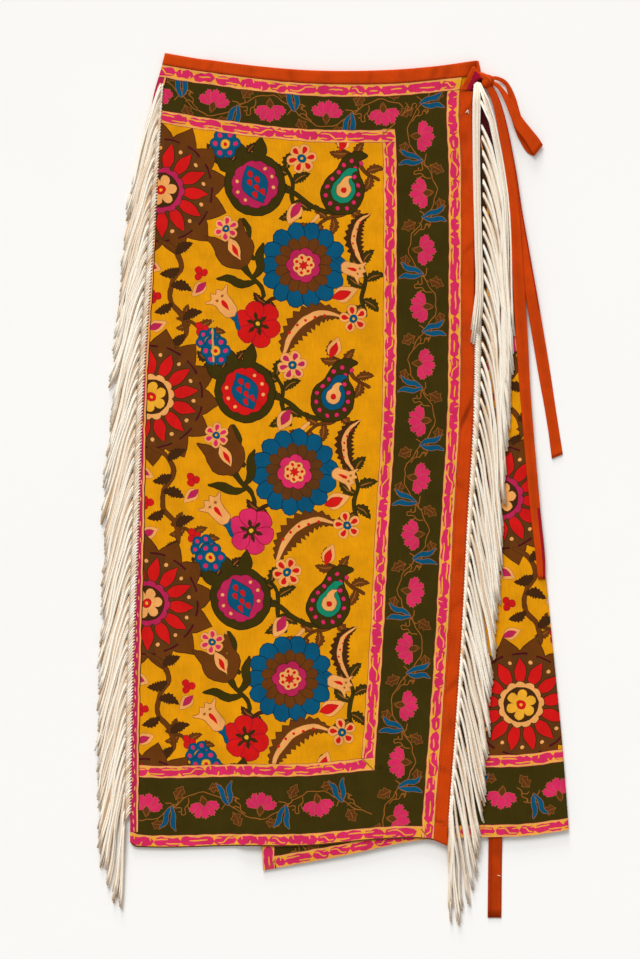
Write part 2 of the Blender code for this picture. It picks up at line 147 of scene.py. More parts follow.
SEAM = ((-185.5, 462.5), (-144.5, 455.5), (-83.5, 447), (-30, 442), (19, 440.5), (69, 441.5), (141, 448.5))
SIDE_FOLD = (
    (162, 452.5), (166.2, 424.6), (179.3, 381), (193.5, 315.6), (204.4, 206.6), (215.3, 97.6),
    (224.5, -11.4), (239.3, -164), (250.2, -276.3), (257.4, -370.5),
)
UNDERLAP_EDGE = ((-114, 451), (-95, 20), (-75.6, -415))
UNDERLAP_HEM = ((-75.6, -415), (13.6, -398.4), (96.5, -381.5), (163, -378.5), (212, -377), (257.4, -370.5))
BACK_LEFT = (
    (-183, 462.5), (-193.5, 423.5), (-196, 383), (-200, 265.5), (-208.5, 109.5), (-216, -200), (-216, -379),
)
BACK_HEM = ((-216, -379), (-35, -380), (106, -375.5), (204.5, -374), (257.4, -370.5))

DYES = {
    "amber": "#DE9303", "olive": "#3A2F04", "brown": "#66360A", "umber": "#41240A", "blue": "#034F70",
    "fuchsia": "#D2285C", "magenta": "#B4204F", "red": "#CB1412", "peach": "#E8A158", "yellow": "#E6A42A",
    "teal": "#128060", "maroon": "#4A0C16", "copper": "#9A5A22", "ink": "#21160A", "navy": "#042A3E",
    "madder": "#8E0F26", "bole": "#5C3410",
}


def smooth(points, count):
    """Points along a smooth curve through the given ones, at even shares of its length."""
    knots = np.array(points, float)
    steps = np.linalg.norm(np.diff(knots, axis=0), axis=1)
    stations = np.concatenate([[0.0], np.cumsum(steps)])
    chords = np.diff(knots, axis=0) / steps[:, None]
    slopes = np.vstack([chords[:1], (chords[:-1] + chords[1:]) / 2, chords[-1:]])
    reach = np.linspace(0, stations[-1], count)
    span = np.clip(np.searchsorted(stations, reach, side="right") - 1, 0, len(steps) - 1)
    width = steps[span][:, None]
    local = (reach[:, None] - stations[span][:, None]) / width
    square, cube = local**2, local**3
    return (
        (2 * cube - 3 * square + 1) * knots[span]
        + (cube - 2 * square + local) * width * slopes[span]
        + (3 * square - 2 * cube) * knots[span + 1]
        + (cube - square) * width * slopes[span + 1]
    )


def x_on(line, y):
    """The x of a line that runs down the skirt, at y."""
    order = np.argsort(line[:, 1])
    return np.interp(y, line[order, 1], line[order, 0])


def y_on(line, x):
    """The y of a line that runs across the skirt, at x."""
    order = np.argsort(line[:, 0])
    return np.interp(x, line[order, 0], line[order, 1])


def ease(value):
    """A soft step from 0 to 1."""
    bounded = np.clip(value, 0, 1)
    return bounded * bounded * (3 - 2 * bounded)


def on_line(line, along, across):
    """Points at distances along a line and to its left."""
    steps = np.linalg.norm(np.diff(line, axis=0), axis=1)
    stations = np.concatenate([[0.0], np.cumsum(steps)])
    ahead = np.gradient(line, axis=0)
    ahead /= np.linalg.norm(ahead, axis=1)[:, None]
    middle = [np.interp(along, stations, line[:, axis]) for axis in (0, 1)]
    heading = [np.interp(along, stations, ahead[:, axis]) for axis in (0, 1)]
    return np.stack([middle[0] - heading[1] * across, middle[1] + heading[0] * across], 1)


def length_of(line):
    """The length of a line of points."""
    return float(np.linalg.norm(np.diff(line, axis=0), axis=1).sum())


# Shapes that the printer cuts in the screens. Each is a closed outline round its own middle.
def disc(radius, lobes=0, depth=0.0, tall=1.0, turn=0.0, points=0):
    """A disc, or one with scalloped lobes. Depth is the share of the radius that the scallops cut."""
    points = points or max(12, int(radius * 1.6), lobes * 6)
    angle = np.arange(points) / points * math.tau
    scallop = np.abs(np.sin(lobes * (angle - turn) / 2)) ** 0.7
    reach = radius * (1 - depth + depth * scallop) if lobes else radius
    return np.stack([reach * np.cos(angle), reach * np.sin(angle) * tall], 1)


def star(radius, tips, inner):
    """A star of pointed tips. Inner is the share of the radius where its notches lie."""
    angle = np.arange(tips * 4) / (tips * 4) * math.tau
    flank = (1 + inner) / 2 - 0.1
    reach = radius * np.tile((1.0, flank, inner, flank), tips)
    return np.stack([reach * np.cos(angle), reach * np.sin(angle)], 1)


def drop(start, length, width, points):
    """A petal out along x: a point at its start and a round outer end."""
    turn = np.arange(points) / points * math.tau
    x = start + length * (1 - np.cos(turn)) / 2
    return np.stack([x, width / 1.6 * np.sin(turn) * np.abs(np.sin(turn / 2))], 1)


def leaf(start, length, width, points):
    """A leaf out along x with a point at both ends."""
    share = np.linspace(0, 1, points // 2 + 1)
    half = width / 2 * np.sin(math.pi * share) ** 1.15
    upper = np.stack([start + length * share, half], 1)
    return np.vstack([upper, (upper * (1, -1))[-2:0:-1]])


def ribbon(points, widths, per=4):
    """A stroke through a few points, with its width at each of them and round ends."""
    rows = np.array([(x, y, w) for (x, y), w in zip(points, widths)], float)
    line = smooth(rows, (len(rows) - 1) * per + 1)
    ahead = np.gradient(line[:, :2], axis=0)
    ahead /= np.maximum(np.linalg.norm(ahead, axis=1), 1e-9)[:, None]
    side = np.stack([-ahead[:, 1], ahead[:, 0]], 1) * line[:, 2:] / 2
    first = line[0, :2] - ahead[0] * line[0, 2] * 0.4
    last = line[-1, :2] + ahead[-1] * line[-1, 2] * 0.4
    return np.vstack([line[:, :2] - side, last, (line[:, :2] + side)[::-1], first])


def turned(shape, degrees):
    """The shape turned round the middle."""
    angle = math.radians(degrees)
    x, y = shape[:, 0], shape[:, 1]
    return np.stack([x * math.cos(angle) - y * math.sin(angle), x * math.sin(angle) + y * math.cos(angle)], 1)


def grown(shape, by):
    """The outline moved out by a small distance, for the line round a colour."""
    around = np.roll(shape, -1, 0) - np.roll(shape, 1, 0)
    spin = np.roll(shape, -1, 0)
    area = (shape[:, 0] * spin[:, 1] - spin[:, 0] * shape[:, 1]).sum()
    normal = np.stack([around[:, 1], -around[:, 0]], 1) * (1 if area > 0 else -1)
    return shape + normal / np.maximum(np.linalg.norm(normal, axis=1), 1e-9)[:, None] * by


def inked(dye, shape, ink, line):
    """A colour with the thin line that overlaps round it."""
    return [(ink, grown(shape, line)), (dye, shape)]


def ring_of(dye, shape, count, ink, line, turn=0.0):
    """A shape's copies round the middle, each with the line round it."""
    laid = []
    for copy in range(count):
        laid += inked(dye, turned(shape, turn + 360 * copy / count), ink, line)
    return laid


def wheel(shape, count, turn=0.0):
    """A shape's copies round the middle, before they are given a colour."""
    return [turned(shape, 360 / count * copy + turn) for copy in range(count)]


def plain(dye, shapes):
    """Shapes of one colour, with no line."""
    return [(dye, shape) for shape in shapes]


def merged(dye, shapes, ink, line):
    """Several shapes of one colour that read as one, with the line only round them all."""
    return plain(ink, [grown(shape, line) for shape in shapes]) + plain(dye, shapes)


def laid_at(prints, x, y, turn, size=1.0):
    """A motif at its place, turned and sized."""
    return [(dye, turned(shape * size, turn) + (x, y)) for dye, shape in prints]


# Flowers, fruit and leaves of the kind that many block-printed and embroidered cloths share
def closed(points, count):
    """A smooth closed outline through a few points."""
    return smooth(np.vstack([points, points[:1]]), count + 1)[:-1]


def serrated(points, widths, teeth):
    """A saw-edged leaf along a curve."""
    rows = np.array([(x, y, w) for (x, y), w in zip(points, widths)], float)
    line = smooth(rows, teeth * 2 + 1)
    line[1::2, 2] *= 0.66
    ahead = np.gradient(line[:, :2], axis=0)
    ahead /= np.linalg.norm(ahead, axis=1)[:, None]
    side = np.stack([-ahead[:, 1], ahead[:, 0]], 1) * line[:, 2:] / 2
    return np.vstack([line[:, :2] - side, (line[:, :2] + side)[-2:0:-1]])


def sunflower(ring, heart_dye):
    """The largest flower: broad dark pointed petals, red ones inside them, and a small pale flower within."""
    laid = merged("brown", [*wheel(leaf(24, 43, 27, 14), 13), disc(50)], "umber", 0.8)
    laid += [("maroon", disc(50.5)), ("bole", disc(48.6))]
    laid += plain("brown", wheel(leaf(40, 20, 9, 10), 13))
    laid += ring_of("red", leaf(17, 29, 11.5, 14), 13, "umber", 0.9, 14)
    laid += plain("peach", wheel(disc(1.9, points=8) + (41.5, 0), 13))
    laid += inked(ring, disc(22.5, 13, 0.1), "umber", 0.7) + inked("umber", disc(16.8), "ink", 0.4)
    laid += merged(heart_dye, wheel(drop(1, 14, 10, 12), 6), "bole", 0.4)
    return laid + inked("red", disc(4.2), "madder", 0.5) + [("yellow", disc(1.6, points=8))]


def chrysanthemum(petal="brown", eye="magenta"):
    """Two rings of round petals, blue outside, round a lobed eye."""
    laid = ring_of("blue", drop(14, 28, 17, 14), 14, "navy", 0.8)
    laid += ring_of(petal, drop(9, 19, 10.5, 12), 14, "umber", 0.6, 13)
    laid += inked(eye, disc(17, 7, 0.16), "maroon", 0.6)
    laid += inked("peach", disc(10.8, 7, 0.2, turn=0.4), "bole", 0.4)
    laid += plain("red", wheel(disc(1.7, points=8) + (7.4, 0), 7))
    return laid + inked("red", star(5, 7, 0.5), "madder", 0.4)


def pomegranate(flesh="magenta"):
    """A cut fruit with its crown: dark rind, bright flesh and rows of seeds."""
    rind = [disc(29, tall=1.06), *(turned(leaf(20, 27, 13, 14), angle) for angle in (58, 90, 122))]
    laid = merged("olive", rind, "ink", 0.7) + inked(flesh, disc(23, 11, 0.07), "maroon", 0.5)
    laid += inked("blue", turned(leaf(-20, 40, 25, 20), 90), "navy", 0.6)
    laid += [("peach", turned(disc(1.7, points=8) + (18, 0), angle)) for angle in (-34, 0, 34, 146, 180, 214)]
    for x, y in ((0, 10), (-4.2, 3), (4.2, 3), (0, -4), (-3.8, -10), (3.8, -10)):
        laid += inked("red", turned(drop(-3.2, 6.8, 4.4, 12), 90) + (x, y), "madder", 0.4)
    return laid


def boteh(dye="teal"):
    """The bent drop of countless shawls, with dots inside its edge."""
    outline = np.array([
        (0, -27), (14, -21), (20.5, -6), (17, 9), (9, 19), (7, 28), (14, 36), (1, 37), (-8, 28), (-12.5, 14),
        (-19.5, 2), (-20, -12), (-12, -23),
    ])
    body = closed(outline, 52)
    laid = inked("olive", body, "ink", 0.7)
    for x, y in closed(outline * 0.76, 15) - (0.6, 0.4):
        laid += [("maroon", disc(2.5, points=8) + (x, y)), ("fuchsia", disc(2.1, points=8) + (x, y))]
    laid += inked(dye, body * 0.56, "ink", 0.5) + inked("peach", body * 0.34, "umber", 0.4)
    return laid + inked("red", disc(2.6, points=10) + (0, -2), "madder", 0.3)


def saz(dye="brown"):
    """A long bent leaf with a saw edge and a pale rib, as on old tiles."""
    line = ((-34, -14), (-20, -2), (0, 6), (20, 4), (36, -10))
    laid = inked(dye, serrated(line, (5, 21, 27, 19, 1.5), 13), "umber", 0.7)
    laid += inked("peach", ribbon(line, (2.4, 5, 6.5, 4.5, 1)), "copper", 0.4)
    for step in range(5):
        x, y = -18 + step * 9.5, 2.5 + 3.4 * math.sin(step * 0.9)
        laid.append(("red", disc(1.5, points=8) + (x, y)))
    return laid


def poppy(dye):
    """Six broad petals with dark roots, seen from above."""
    laid = ring_of(dye, drop(2, 21, 19, 16), 3, "madder", 0.7, 30)
    laid += ring_of(dye, drop(2, 20, 18, 16), 3, "madder", 0.7, 90)
    laid += plain("umber", wheel(leaf(3, 9, 4.4, 8), 6, 30))
    return laid + inked("olive", disc(4.6), "ink", 0.4) + [("yellow", disc(2.2, points=8))]


def tulip():
    """A tulip from the side with two bent outer petals, a pale heart and a pair of long leaves."""
    petals = [
        ribbon(((2, 0), (-10, 11), (-26, 13), (-40, 20)), (12, 17, 12, 2)),
        ribbon(((2, 0), (-10, -11), (-26, -13), (-40, -20)), (12, 17, 12, 2)),
        turned(leaf(-6, 42, 22, 16), 180),
    ]
    greens = [
        ribbon(((0, 0), (16, 1), (32, 6), (44, 4)), (9, 4.4, 3.8, 3.2)),
        ribbon(((22, 2), (16, 14), (2, 21), (-6, 30)), (3, 8, 8, 1.5)),
        ribbon(((26, 3), (22, -10), (10, -20), (4, -31)), (3, 8, 8, 1.5)),
    ]
    laid = merged("olive", greens, "ink", 0.5) + merged("brown", petals, "umber", 0.8)
    laid += inked("peach", turned(leaf(2, 27, 12, 14), 180), "umber", 0.6)
    return laid + [("red", turned(leaf(5, 16, 5, 10), 180))]


def bellflower():
    """A pale bell with three teeth and its stamens, on a short blue stalk."""
    bell = closed(np.array([
        (-13, 0), (-10, 6), (-2, 7.4), (7, 8), (15, 14), (13, 7), (18, 3.4), (14, 0), (18, -3.4), (13, -7),
        (15, -14), (7, -8), (-2, -7.4), (-10, -6),
    ]), 42)
    laid = inked("blue", ribbon(((-26, 5), (-18, 2), (-11, 0)), (3, 4, 9)), "navy", 0.5)
    laid += inked("peach", bell, "copper", 0.7) + [("red", drop(-6, 13, 4.4, 10))]
    return laid + plain("copper", [disc(1.5, points=8) + (9.5, y) for y in (3.4, -3.4)])


def leafy_vine():
    """A climbing stem with paired leaves, berries in threes and buds on its outer bends."""
    stem = ((-16, 54), (-2, 44), (4, 28), (-6, 12), (-8, -6), (3, -22), (5, -38), (-8, -52))
    laid = inked("brown", ribbon(stem, (3.2, 4, 4.4, 4, 4, 4.4, 4, 3.2), 5), "umber", 0.5)
    leaf_print = inked("umber", serrated(((0, 0), (9, 2), (20, 0)), (2, 11, 1), 7), "ink", 0.4)
    for spot in (
        (-1, 40, 28, 1), (2, 26, 196, 1), (-7, 10, -18, 1.05), (-7, -8, 204, 0.95), (3, -24, 20, 1),
        (4, -38, 212, 0.9),
    ):
        laid += laid_at(leaf_print, *spot)
    for middle in ((22, 20), (-24, 0), (20, -34)):
        for berry in wheel(disc(3.3, points=12) + (3.7, 0), 3):
            laid += inked("red", berry + middle, "madder", 0.5)
    for x, y, turn in ((18, 3, 40), (-22, 28, 150), (-20, -28, 200)):
        laid += laid_at(bud("magenta"), x, y, turn, 0.8)
    return laid


def sprig(dye="brown"):
    """A bent twig with saw-edged leaves on both sides and a pale rib in each."""
    laid = inked(dye, ribbon(((-26, -4), (-8, 2), (10, 0), (26, 6)), (3, 3.6, 3, 1.6)), "ink", 0.5)
    leaf_print = inked(dye, serrated(((0, 0), (9, 2), (20, 0)), (2, 11, 1), 6), "ink", 0.5)
    leaf_print.append(("copper", ribbon(((3, 0.4), (9, 1.6), (15, 0.8)), (0.8, 1.1, 0.5), 2)))
    for spot in ((-16, -1, 118), (-10, 1, -122), (2, 1, 62), (8, 0, -66), (17, 3, 44), (22, 5, -30)):
        laid += laid_at(leaf_print, *spot)
    return laid


def bud(dye="red"):
    """A bud of two petals in a pale sheath."""
    laid = inked("peach", drop(-9, 21, 15, 14), "copper", 0.5)
    return laid + inked(dye, leaf(-3, 18, 8, 12), "madder", 0.4)


def blossom(petal, petals=6):
    """A small open flower with pale edges."""
    laid = merged("peach", wheel(drop(1, 13.5, 10.5, 12), petals), "copper", 0.4)
    laid += plain(petal, wheel(drop(4.5, 8, 5.4, 10), petals))
    return laid + inked("blue", disc(3.8, points=12), "navy", 0.5) + [("yellow", disc(1.4, points=7))]


def forget_me_not():
    """A blue flower of six round petals with a yellow eye."""
    laid = merged("blue", wheel(disc(5.4, points=14) + (8.6, 0), 6), "navy", 0.6)
    laid += plain("fuchsia", wheel(disc(2.2, points=9) + (9.4, 0), 6))
    return laid + inked("yellow", disc(4.2, points=14), "copper", 0.5) + [("red", disc(1.9, points=9))]


def dark_stem(length):
    """A dark stem that bends twice."""
    line = ((0, 0), (length * 0.3, 3), (length * 0.7, -3), (length, 0))
    return inked("olive", ribbon(line, (4, 4.4, 4, 4.4)), "ink", 0.4)


def pale_stem(length):
    """A thinner pale stem that bends the other way."""
    line = ((0, 0), (length * 0.3, -3), (length * 0.7, 3), (length, 0))
    return inked("peach", ribbon(line, (3, 3.4, 3, 2.4)), "copper", 0.4)


# The dark border with its carnations on a climbing stem
def carnation():
    """A fan of toothed petals over a small cup, each petal with a thin light line round it."""
    petal = np.array([
        (1, 0), (8, -4.2), (15, -6.2), (17.4, -3.6), (19.6, -4.2), (20, -1), (22, 0), (20, 1), (19.6, 4.2),
        (17.4, 3.6), (15, 6.2), (8, 4.2),
    ])
    laid = inked("bole", drop(-9, 13, 9, 12), "copper", 0.5)
    for angle in (-64, 64, -32, 32, 0):
        laid += inked("fuchsia", turned(petal, angle), "copper", 0.55)
    return laid + inked("bole", leaf(-7, 12, 8, 10), "copper", 0.4)


def leaf_pair():
    """Two narrow blue leaves that part from one point."""
    laid = []
    for side in (-1, 1):
        blade = ribbon(((0, 0), (9, 4 * side), (19, 4.4 * side), (26, 9 * side)), (2, 5, 5.4, 1.2))
        laid += inked("blue", blade, "copper", 0.5)
    return laid


def oak_leaf():
    """A dark leaf with round lobes and a copper line round it."""
    outline = closed(np.array([
        (0, 0), (4, -3), (7, -7.4), (10, -3.6), (13, -7), (16, -3), (20.5, 0), (16, 3), (13, 7), (10, 3.6),
        (7, 7.4), (4, 3),
    ]), 30)
    rib = ribbon(((1, 0), (9, 0.6), (16, 0)), (0.6, 0.7, 0.5), 2)
    return inked("bole", outline, "copper", 0.6) + [("copper", rib)]


def tendril():
    """A thin forked stem with a curl at its end."""
    stem = ribbon(((0, 0), (7, 3), (13, 1), (19, 5), (22, 2), (19, -0.5)), (1.0, 1.1, 1.0, 1.1, 1.0, 1.2), 3)
    return [("copper", stem), ("copper", ribbon(((9, 2.6), (13, 7), (12, 11)), (0.9, 1.0, 1.0), 3))]


FLOWER_PITCH = 62
STEM_SWAY = 15


def border_run(line, start, first_side, stop=None):
    """Carnations, leaves and tendrils along a border's middle line, on a stem that swings to and fro."""
    laid = []
    stop = stop or length_of(line)
    count = int((stop - start) / FLOWER_PITCH) + 3
    reach = np.linspace(0.5, stop - 0.5, int(stop / 5))
    swing = -first_side * STEM_SWAY * np.cos((reach - start) / FLOWER_PITCH * math.pi)
    swing += 1.2 * np.sin(reach / 3.1)
    points = on_line(line, reach, swing)
    laid.append(("copper", ribbon(points, [0.95] * len(points), 1)))
    for repeat in range(-1, count):
        begin = start + repeat * FLOWER_PITCH
        side = first_side * (1 if repeat % 2 == 0 else -1)
        spots = (
            (tendril(), begin - 14, -9, 118, 0.9), (tendril(), begin + 22, 4, -30, 0.9),
            (oak_leaf(), begin + 8, -18, -12, 0.72), (oak_leaf(), begin + 34, 8, 62, 0.8),
            (leaf_pair(), begin + 29, 0, -100, 0.95), (carnation(), begin + 2, -4, 84, 0.86),
        )
        for prints, along_at, across_at, turn, size in spots:
            if not 3 < along_at < stop - 2:
                continue
            stations = np.array([along_at, along_at + 1.0])
            (x, y), (x_next, y_next) = on_line(line, stations, np.full(2, float(across_at * side)))
            heading = math.degrees(math.atan2(y_next - y, x_next - x))
            laid += laid_at(prints, x, y, heading + turn * side, size)
    return laid


def squiggles(line, width, seed):
    """The broken brush pattern along a narrow band: knobbly blocks of colour with thin slits left open."""
    chance = random.Random(seed)
    stop = length_of(line) - 1.0
    row = width * 0.17
    laid = []

    def brush(dye, points, widths):
        """One stroke, its points given by how far along the band and across it they lie."""
        places = np.array(points, float)
        laid.append((dye, ribbon(on_line(line, places[:, 0], places[:, 1]), widths, 2)))

    begin = 1.5
    while begin < stop - 8:
        run = min(chance.uniform(14, 38), stop - begin)
        end = begin + run
        flip = chance.choice((-1, 1))
        count = max(3, int(run / 4.2))
        spots = [
            (begin + 2.4 + (run - 5.2) * step / (count - 1), chance.uniform(-0.7, 0.7))
            for step in range(count)
        ]
        brush("fuchsia", spots, [width * chance.uniform(0.58, 0.8) for _ in spots])
        kind = chance.choice(("one", "two", "zigzag", "comb", "zigzag", "two"))
        slit = (0.9, 1.5, 1.0)
        if kind == "one":
            share = chance.uniform(0.25, 0.4)
            brush("yellow", [(begin + run * part, row * 0.3 * flip) for part in (share, 0.55, 0.78)], slit)
        elif kind == "two":
            brush("yellow", [(begin + run * part, row * flip) for part in (0.0, 0.25, 0.5)], slit)
            brush("yellow", [(begin + run * part, -row * flip) for part in (0.45, 0.7, 1.0)], slit)
        elif kind == "zigzag":
            middle = begin + run * 0.5
            near, far = row * flip, -row * flip
            bent = [(begin + 3, near), (middle - 2, near), (middle + 2, far), (end - 3, far)]
            brush("yellow", bent, (0.9, 1.4, 1.4, 0.9))
            brush("yellow", [(begin, -row * 1.4 * flip), (begin + run * 0.3, -row * 1.2 * flip)], (1.4, 0.8))
        else:
            for step in range(1, count, 2):
                place = begin + run * step / count
                side = flip * (1 if step % 4 == 1 else -1)
                brush("yellow", [(place, side * width * 0.42), (place + 1.2, side * row * 0.5)], (1.5, 1.0))
        begin = end + chance.uniform(0.2, 1.3)
    return laid


def wavered(shape):
    """The slight waver of a hand-cut screen, alike wherever two colours share an edge."""
    x, y = shape[:, 0], shape[:, 1]
    across = 0.34 * np.sin(0.29 * y + 1.7 * np.sin(0.071 * x)) + 0.22 * np.sin(0.77 * y + 0.41 * x)
    upward = 0.34 * np.sin(0.27 * x + 1.3 * np.sin(0.063 * y)) + 0.22 * np.sin(0.71 * x - 0.37 * y)
    return shape + np.stack([across, upward], 1)


def inside(points, outline):
    """Which points the outline winds round."""
    wound = np.zeros(len(points), int)
    x, y = points[:, 0], points[:, 1]
    for (ax, ay), (bx, by) in zip(outline, np.roll(outline, -1, 0)):
        left = (bx - ax) * (y - ay) - (x - ax) * (by - ay)
        wound += (ay <= y) & (by > y) & (left > 0)
        wound -= (ay > y) & (by <= y) & (left < 0)
    return wound != 0


def net(outline, shapes, spacing):
    """Points and triangles of a flat cut in which every shape's edge lies on triangle edges."""
    loops = [outline, *shapes]
    low, high = outline.min(0), outline.max(0)
    across, up = np.meshgrid(*(np.arange(low[axis] + spacing / 2, high[axis], spacing) for axis in (0, 1)))
    grid = np.stack([across.ravel(), up.ravel()], 1)
    grid = grid[inside(grid, outline + (outline.mean(0) - outline) * 0.01)]
    points = np.vstack([*loops, grid])
    edges = []
    begin = 0
    for loop in loops:
        edges += [(begin + index, begin + (index + 1) % len(loop)) for index in range(len(loop))]
        begin += len(loop)
    found = geometry.delaunay_2d_cdt([Vector(point) for point in points], edges, [], 0, 1e-4, False)
    points = np.array([tuple(point) for point in found[0]])
    triangles = np.array([face for face in found[2] if len(face) == 3])
    a, b, c = (points[triangles[:, corner]] for corner in range(3))
    area = (b[:, 0] - a[:, 0]) * (c[:, 1] - a[:, 1]) - (c[:, 0] - a[:, 0]) * (b[:, 1] - a[:, 1])
    kept = inside((a + b + c) / 3, outline) & (area > 1e-9)
    used, triangles = np.unique(triangles[kept], return_inverse=True)
    return points[used], triangles.reshape(-1, 3)


def painted(points, triangles, prints):
    """Each triangle's colour: that of the last shape printed over its middle, or else the amber ground."""
    names = list(DYES)
    middles = points[triangles].mean(1)
    upward = np.argsort(middles[:, 1], kind="stable")
    heights = middles[upward, 1]
    dye = np.full(len(triangles), names.index("amber"))
    for name, shape in prints:
        (left, low), (right, high) = shape.min(0), shape.max(0)
        level = upward[slice(*np.searchsorted(heights, (low, high)))]
        near = level[(middles[level, 0] >= left) & (middles[level, 0] <= right)]
        dye[near[inside(middles[near], shape)]] = names.index(name)
    return dye


def rim_of(triangles):
    """The outer edge of a net of triangles, as a ring of point numbers."""
    sides = np.vstack([triangles[:, [0, 1]], triangles[:, [1, 2]], triangles[:, [2, 0]]]).tolist()
    known = set(map(tuple, sides))
    after = {first: second for first, second in known if (second, first) not in known}
    ring = [next(iter(after))]
    while after[ring[-1]] != ring[0]:
        ring.append(after[ring[-1]])
    return ring


def dye_corners(mesh, colours):
    """Writes a mesh's colours, one for each corner of its faces."""
    mesh.color_attributes.new("print", "FLOAT_COLOR", "CORNER").data.foreach_set("color", colours.ravel())


def cut_cloth(name, outline, prints, surface_at, spacing, folds=()):
    """A closed thin shell of cloth. Its face carries the print, and its reverse is the plain pale side.

    Spacing is that of the face's net in millimetres. The reverse, with no print, has a net of twice that.
    """
    face_points, face_triangles = net(outline, [*folds, *(shape for _, shape in prints)], spacing)
    dye = painted(face_points, face_triangles, prints)
    ring = rim_of(face_triangles)
    back_points, back_triangles = net(face_points[ring], list(folds), spacing * 2)
    back_ring = np.array(rim_of(back_triangles))
    nearest = [np.abs(back_points[back_ring] - face_points[index]).sum(1).argmin() for index in ring]
    matched = back_ring[nearest] + len(face_points)
    rim = zip(ring, ring[1:] + ring[:1], matched, np.roll(matched, -1))
    faces = face_triangles.tolist() + (back_triangles[:, ::-1] + len(face_points)).tolist()
    faces += [(after, here, low, low_after) for here, after, low, low_after in rim]
    corners = np.vstack([surface_at(face_points, 0.0), surface_at(back_points, SHELL)])
    mesh = bpy.data.meshes.new(name)
    mesh.from_pydata((corners * MM).tolist(), [], faces)
    palette = np.array([(*linear(value), 1.0) for value in DYES.values()])
    colours = np.tile((*linear(REVERSE_SIDE), 1.0), (len(mesh.loops), 1))
    colours[:len(dye) * 3] = palette[dye].repeat(3, 0)
    dye_corners(mesh, colours)
    mesh.shade_smooth()
    mesh.set_sharp_from_angle(angle=math.radians(50))
    mesh.materials.append(printed_cotton)
    return placed(name, mesh)


def creased(points, creases):
    """Height that soft ridges and troughs add: each runs between two points, with its width and height."""
    height = np.zeros(len(points))
    for x, y, x_end, y_end, width, rise in creases:
        ahead = np.array([x_end - x, y_end - y], float)
        reach = np.linalg.norm(ahead)
        ahead /= reach
        apart = points - (x, y)
        along = apart @ ahead / reach
        across = apart @ (-ahead[1], ahead[0])
        bow = across - width * 0.7 * np.sin(along * 2.6 + x)
        height += rise * np.exp(-(bow / width) ** 2) * ease(along * 3.2) * ease((1 - along) * 3.2)
    return height


def down(line, inset, top, bottom):
    """A line that keeps its distance inside one that runs down the skirt."""
    y = np.linspace(top, bottom, 90)
    return np.stack([x_on(line, y) - inset, y], 1)


def along(line, inset, left, right):
    """A line that keeps its distance below one that runs across the skirt."""
    x = np.linspace(left, right, 60)
    return np.stack([x, y_on(line, x) - inset], 1)


def band(line, width, colour, shift=0.0):
    """A band of one colour along a line, or a little to its left."""
    reach = np.linspace(0, length_of(line), max(8, int(length_of(line) / 9)))
    sides = [on_line(line, reach, np.full(len(reach), shift + half)) for half in (-width / 2, width / 2)]
    return colour, np.vstack([sides[0], sides[1][::-1]])


def stripe(line, width, seed):
    """A pale printed stripe with the brush pattern on it."""
    laid = [band(line, width + 1.0, "madder"), band(line, width, "peach"), band(line, width * 0.74, "yellow")]
    return laid + squiggles(line, width, seed)


OUTER_STRIPE = 13.0
SIDE_BORDER = 70.0
SIDE_STRIPE = 14.0
TOP_BORDER = 50.0
TOP_STRIPE = 13.0
HEM_BORDER = 76.0
HEM_STRIPE = 13.0


def border(side, top, hem, far, seed, hand=1):
    """The dark border and its stripes along a free edge, the waist and the hem.

    Far is where its bands across the skirt end, away from that edge. Hand is -1 for a left edge.
    """
    side_top, side_bottom = side[0, 1], side[-1, 1]
    dark_side = down(side, hand * (OUTER_STRIPE + SIDE_BORDER) / 2, side_top, side_bottom)
    dark_top = along(top, (OUTER_STRIPE + TOP_BORDER) / 2, far, dark_side[0, 0])
    dark_hem = along(hem, -(OUTER_STRIPE + HEM_BORDER) / 2, far, dark_side[-1, 0])
    laid = [
        band(down(side, hand * SIDE_BORDER / 2, side_top + 20, side_bottom - 20), SIDE_BORDER, "olive"),
        band(along(top, TOP_BORDER / 2 - 8, far - 9 * hand, dark_side[0, 0]), TOP_BORDER + 16, "olive"),
        band(along(hem, 8 - HEM_BORDER / 2, far - 9 * hand, dark_side[-1, 0]), HEM_BORDER + 16, "olive"),
    ]
    laid += border_run(dark_side, 62, 1)
    laid += border_run(dark_top, 30, -1, length_of(dark_top) - 22)
    laid += border_run(dark_hem, 20, 1, length_of(dark_hem) - 26)
    inner_top = side_top - TOP_BORDER - TOP_STRIPE / 2
    inner_hem = side_bottom + HEM_BORDER + HEM_STRIPE / 2
    inner_side = hand * (SIDE_BORDER + SIDE_STRIPE / 2)
    corner_x = [float(x_on(side, y)) - hand * SIDE_BORDER for y in (inner_top, inner_hem)]
    laid += stripe(down(side, inner_side, inner_top, inner_hem), SIDE_STRIPE, seed)
    laid += stripe(along(top, TOP_BORDER + TOP_STRIPE / 2, far, corner_x[0]), TOP_STRIPE, seed + 1)
    laid += stripe(along(hem, -HEM_BORDER - HEM_STRIPE / 2, far, corner_x[1]), HEM_STRIPE, seed + 2)
    outer_top = side_top - OUTER_STRIPE - 1
    hem_end = side[-1, 0] - hand * OUTER_STRIPE
    laid += stripe(down(side, hand * OUTER_STRIPE / 2, outer_top, side_bottom - 3), OUTER_STRIPE, seed + 3)
    laid += stripe(along(top, OUTER_STRIPE / 2, far, side[0, 0]), OUTER_STRIPE, seed + 4)
    laid += stripe(along(hem, -OUTER_STRIPE / 2, far, hem_end), OUTER_STRIPE, seed + 5)
    for x, y, rise in (
        (corner_x[0], inner_top + TOP_STRIPE / 2, 1), (corner_x[1], inner_hem - HEM_STRIPE / 2, -1),
        (side[-1, 0], side_bottom - 2, -1),
    ):
        mitre = ribbon(((x, y), (x - hand * SIDE_STRIPE, y - SIDE_STRIPE * rise)), (1.2, 1.2), 2)
        laid.append(("copper", mitre))
    return laid


REPEAT = 225.0
MOTIF_SCALE = 1.12


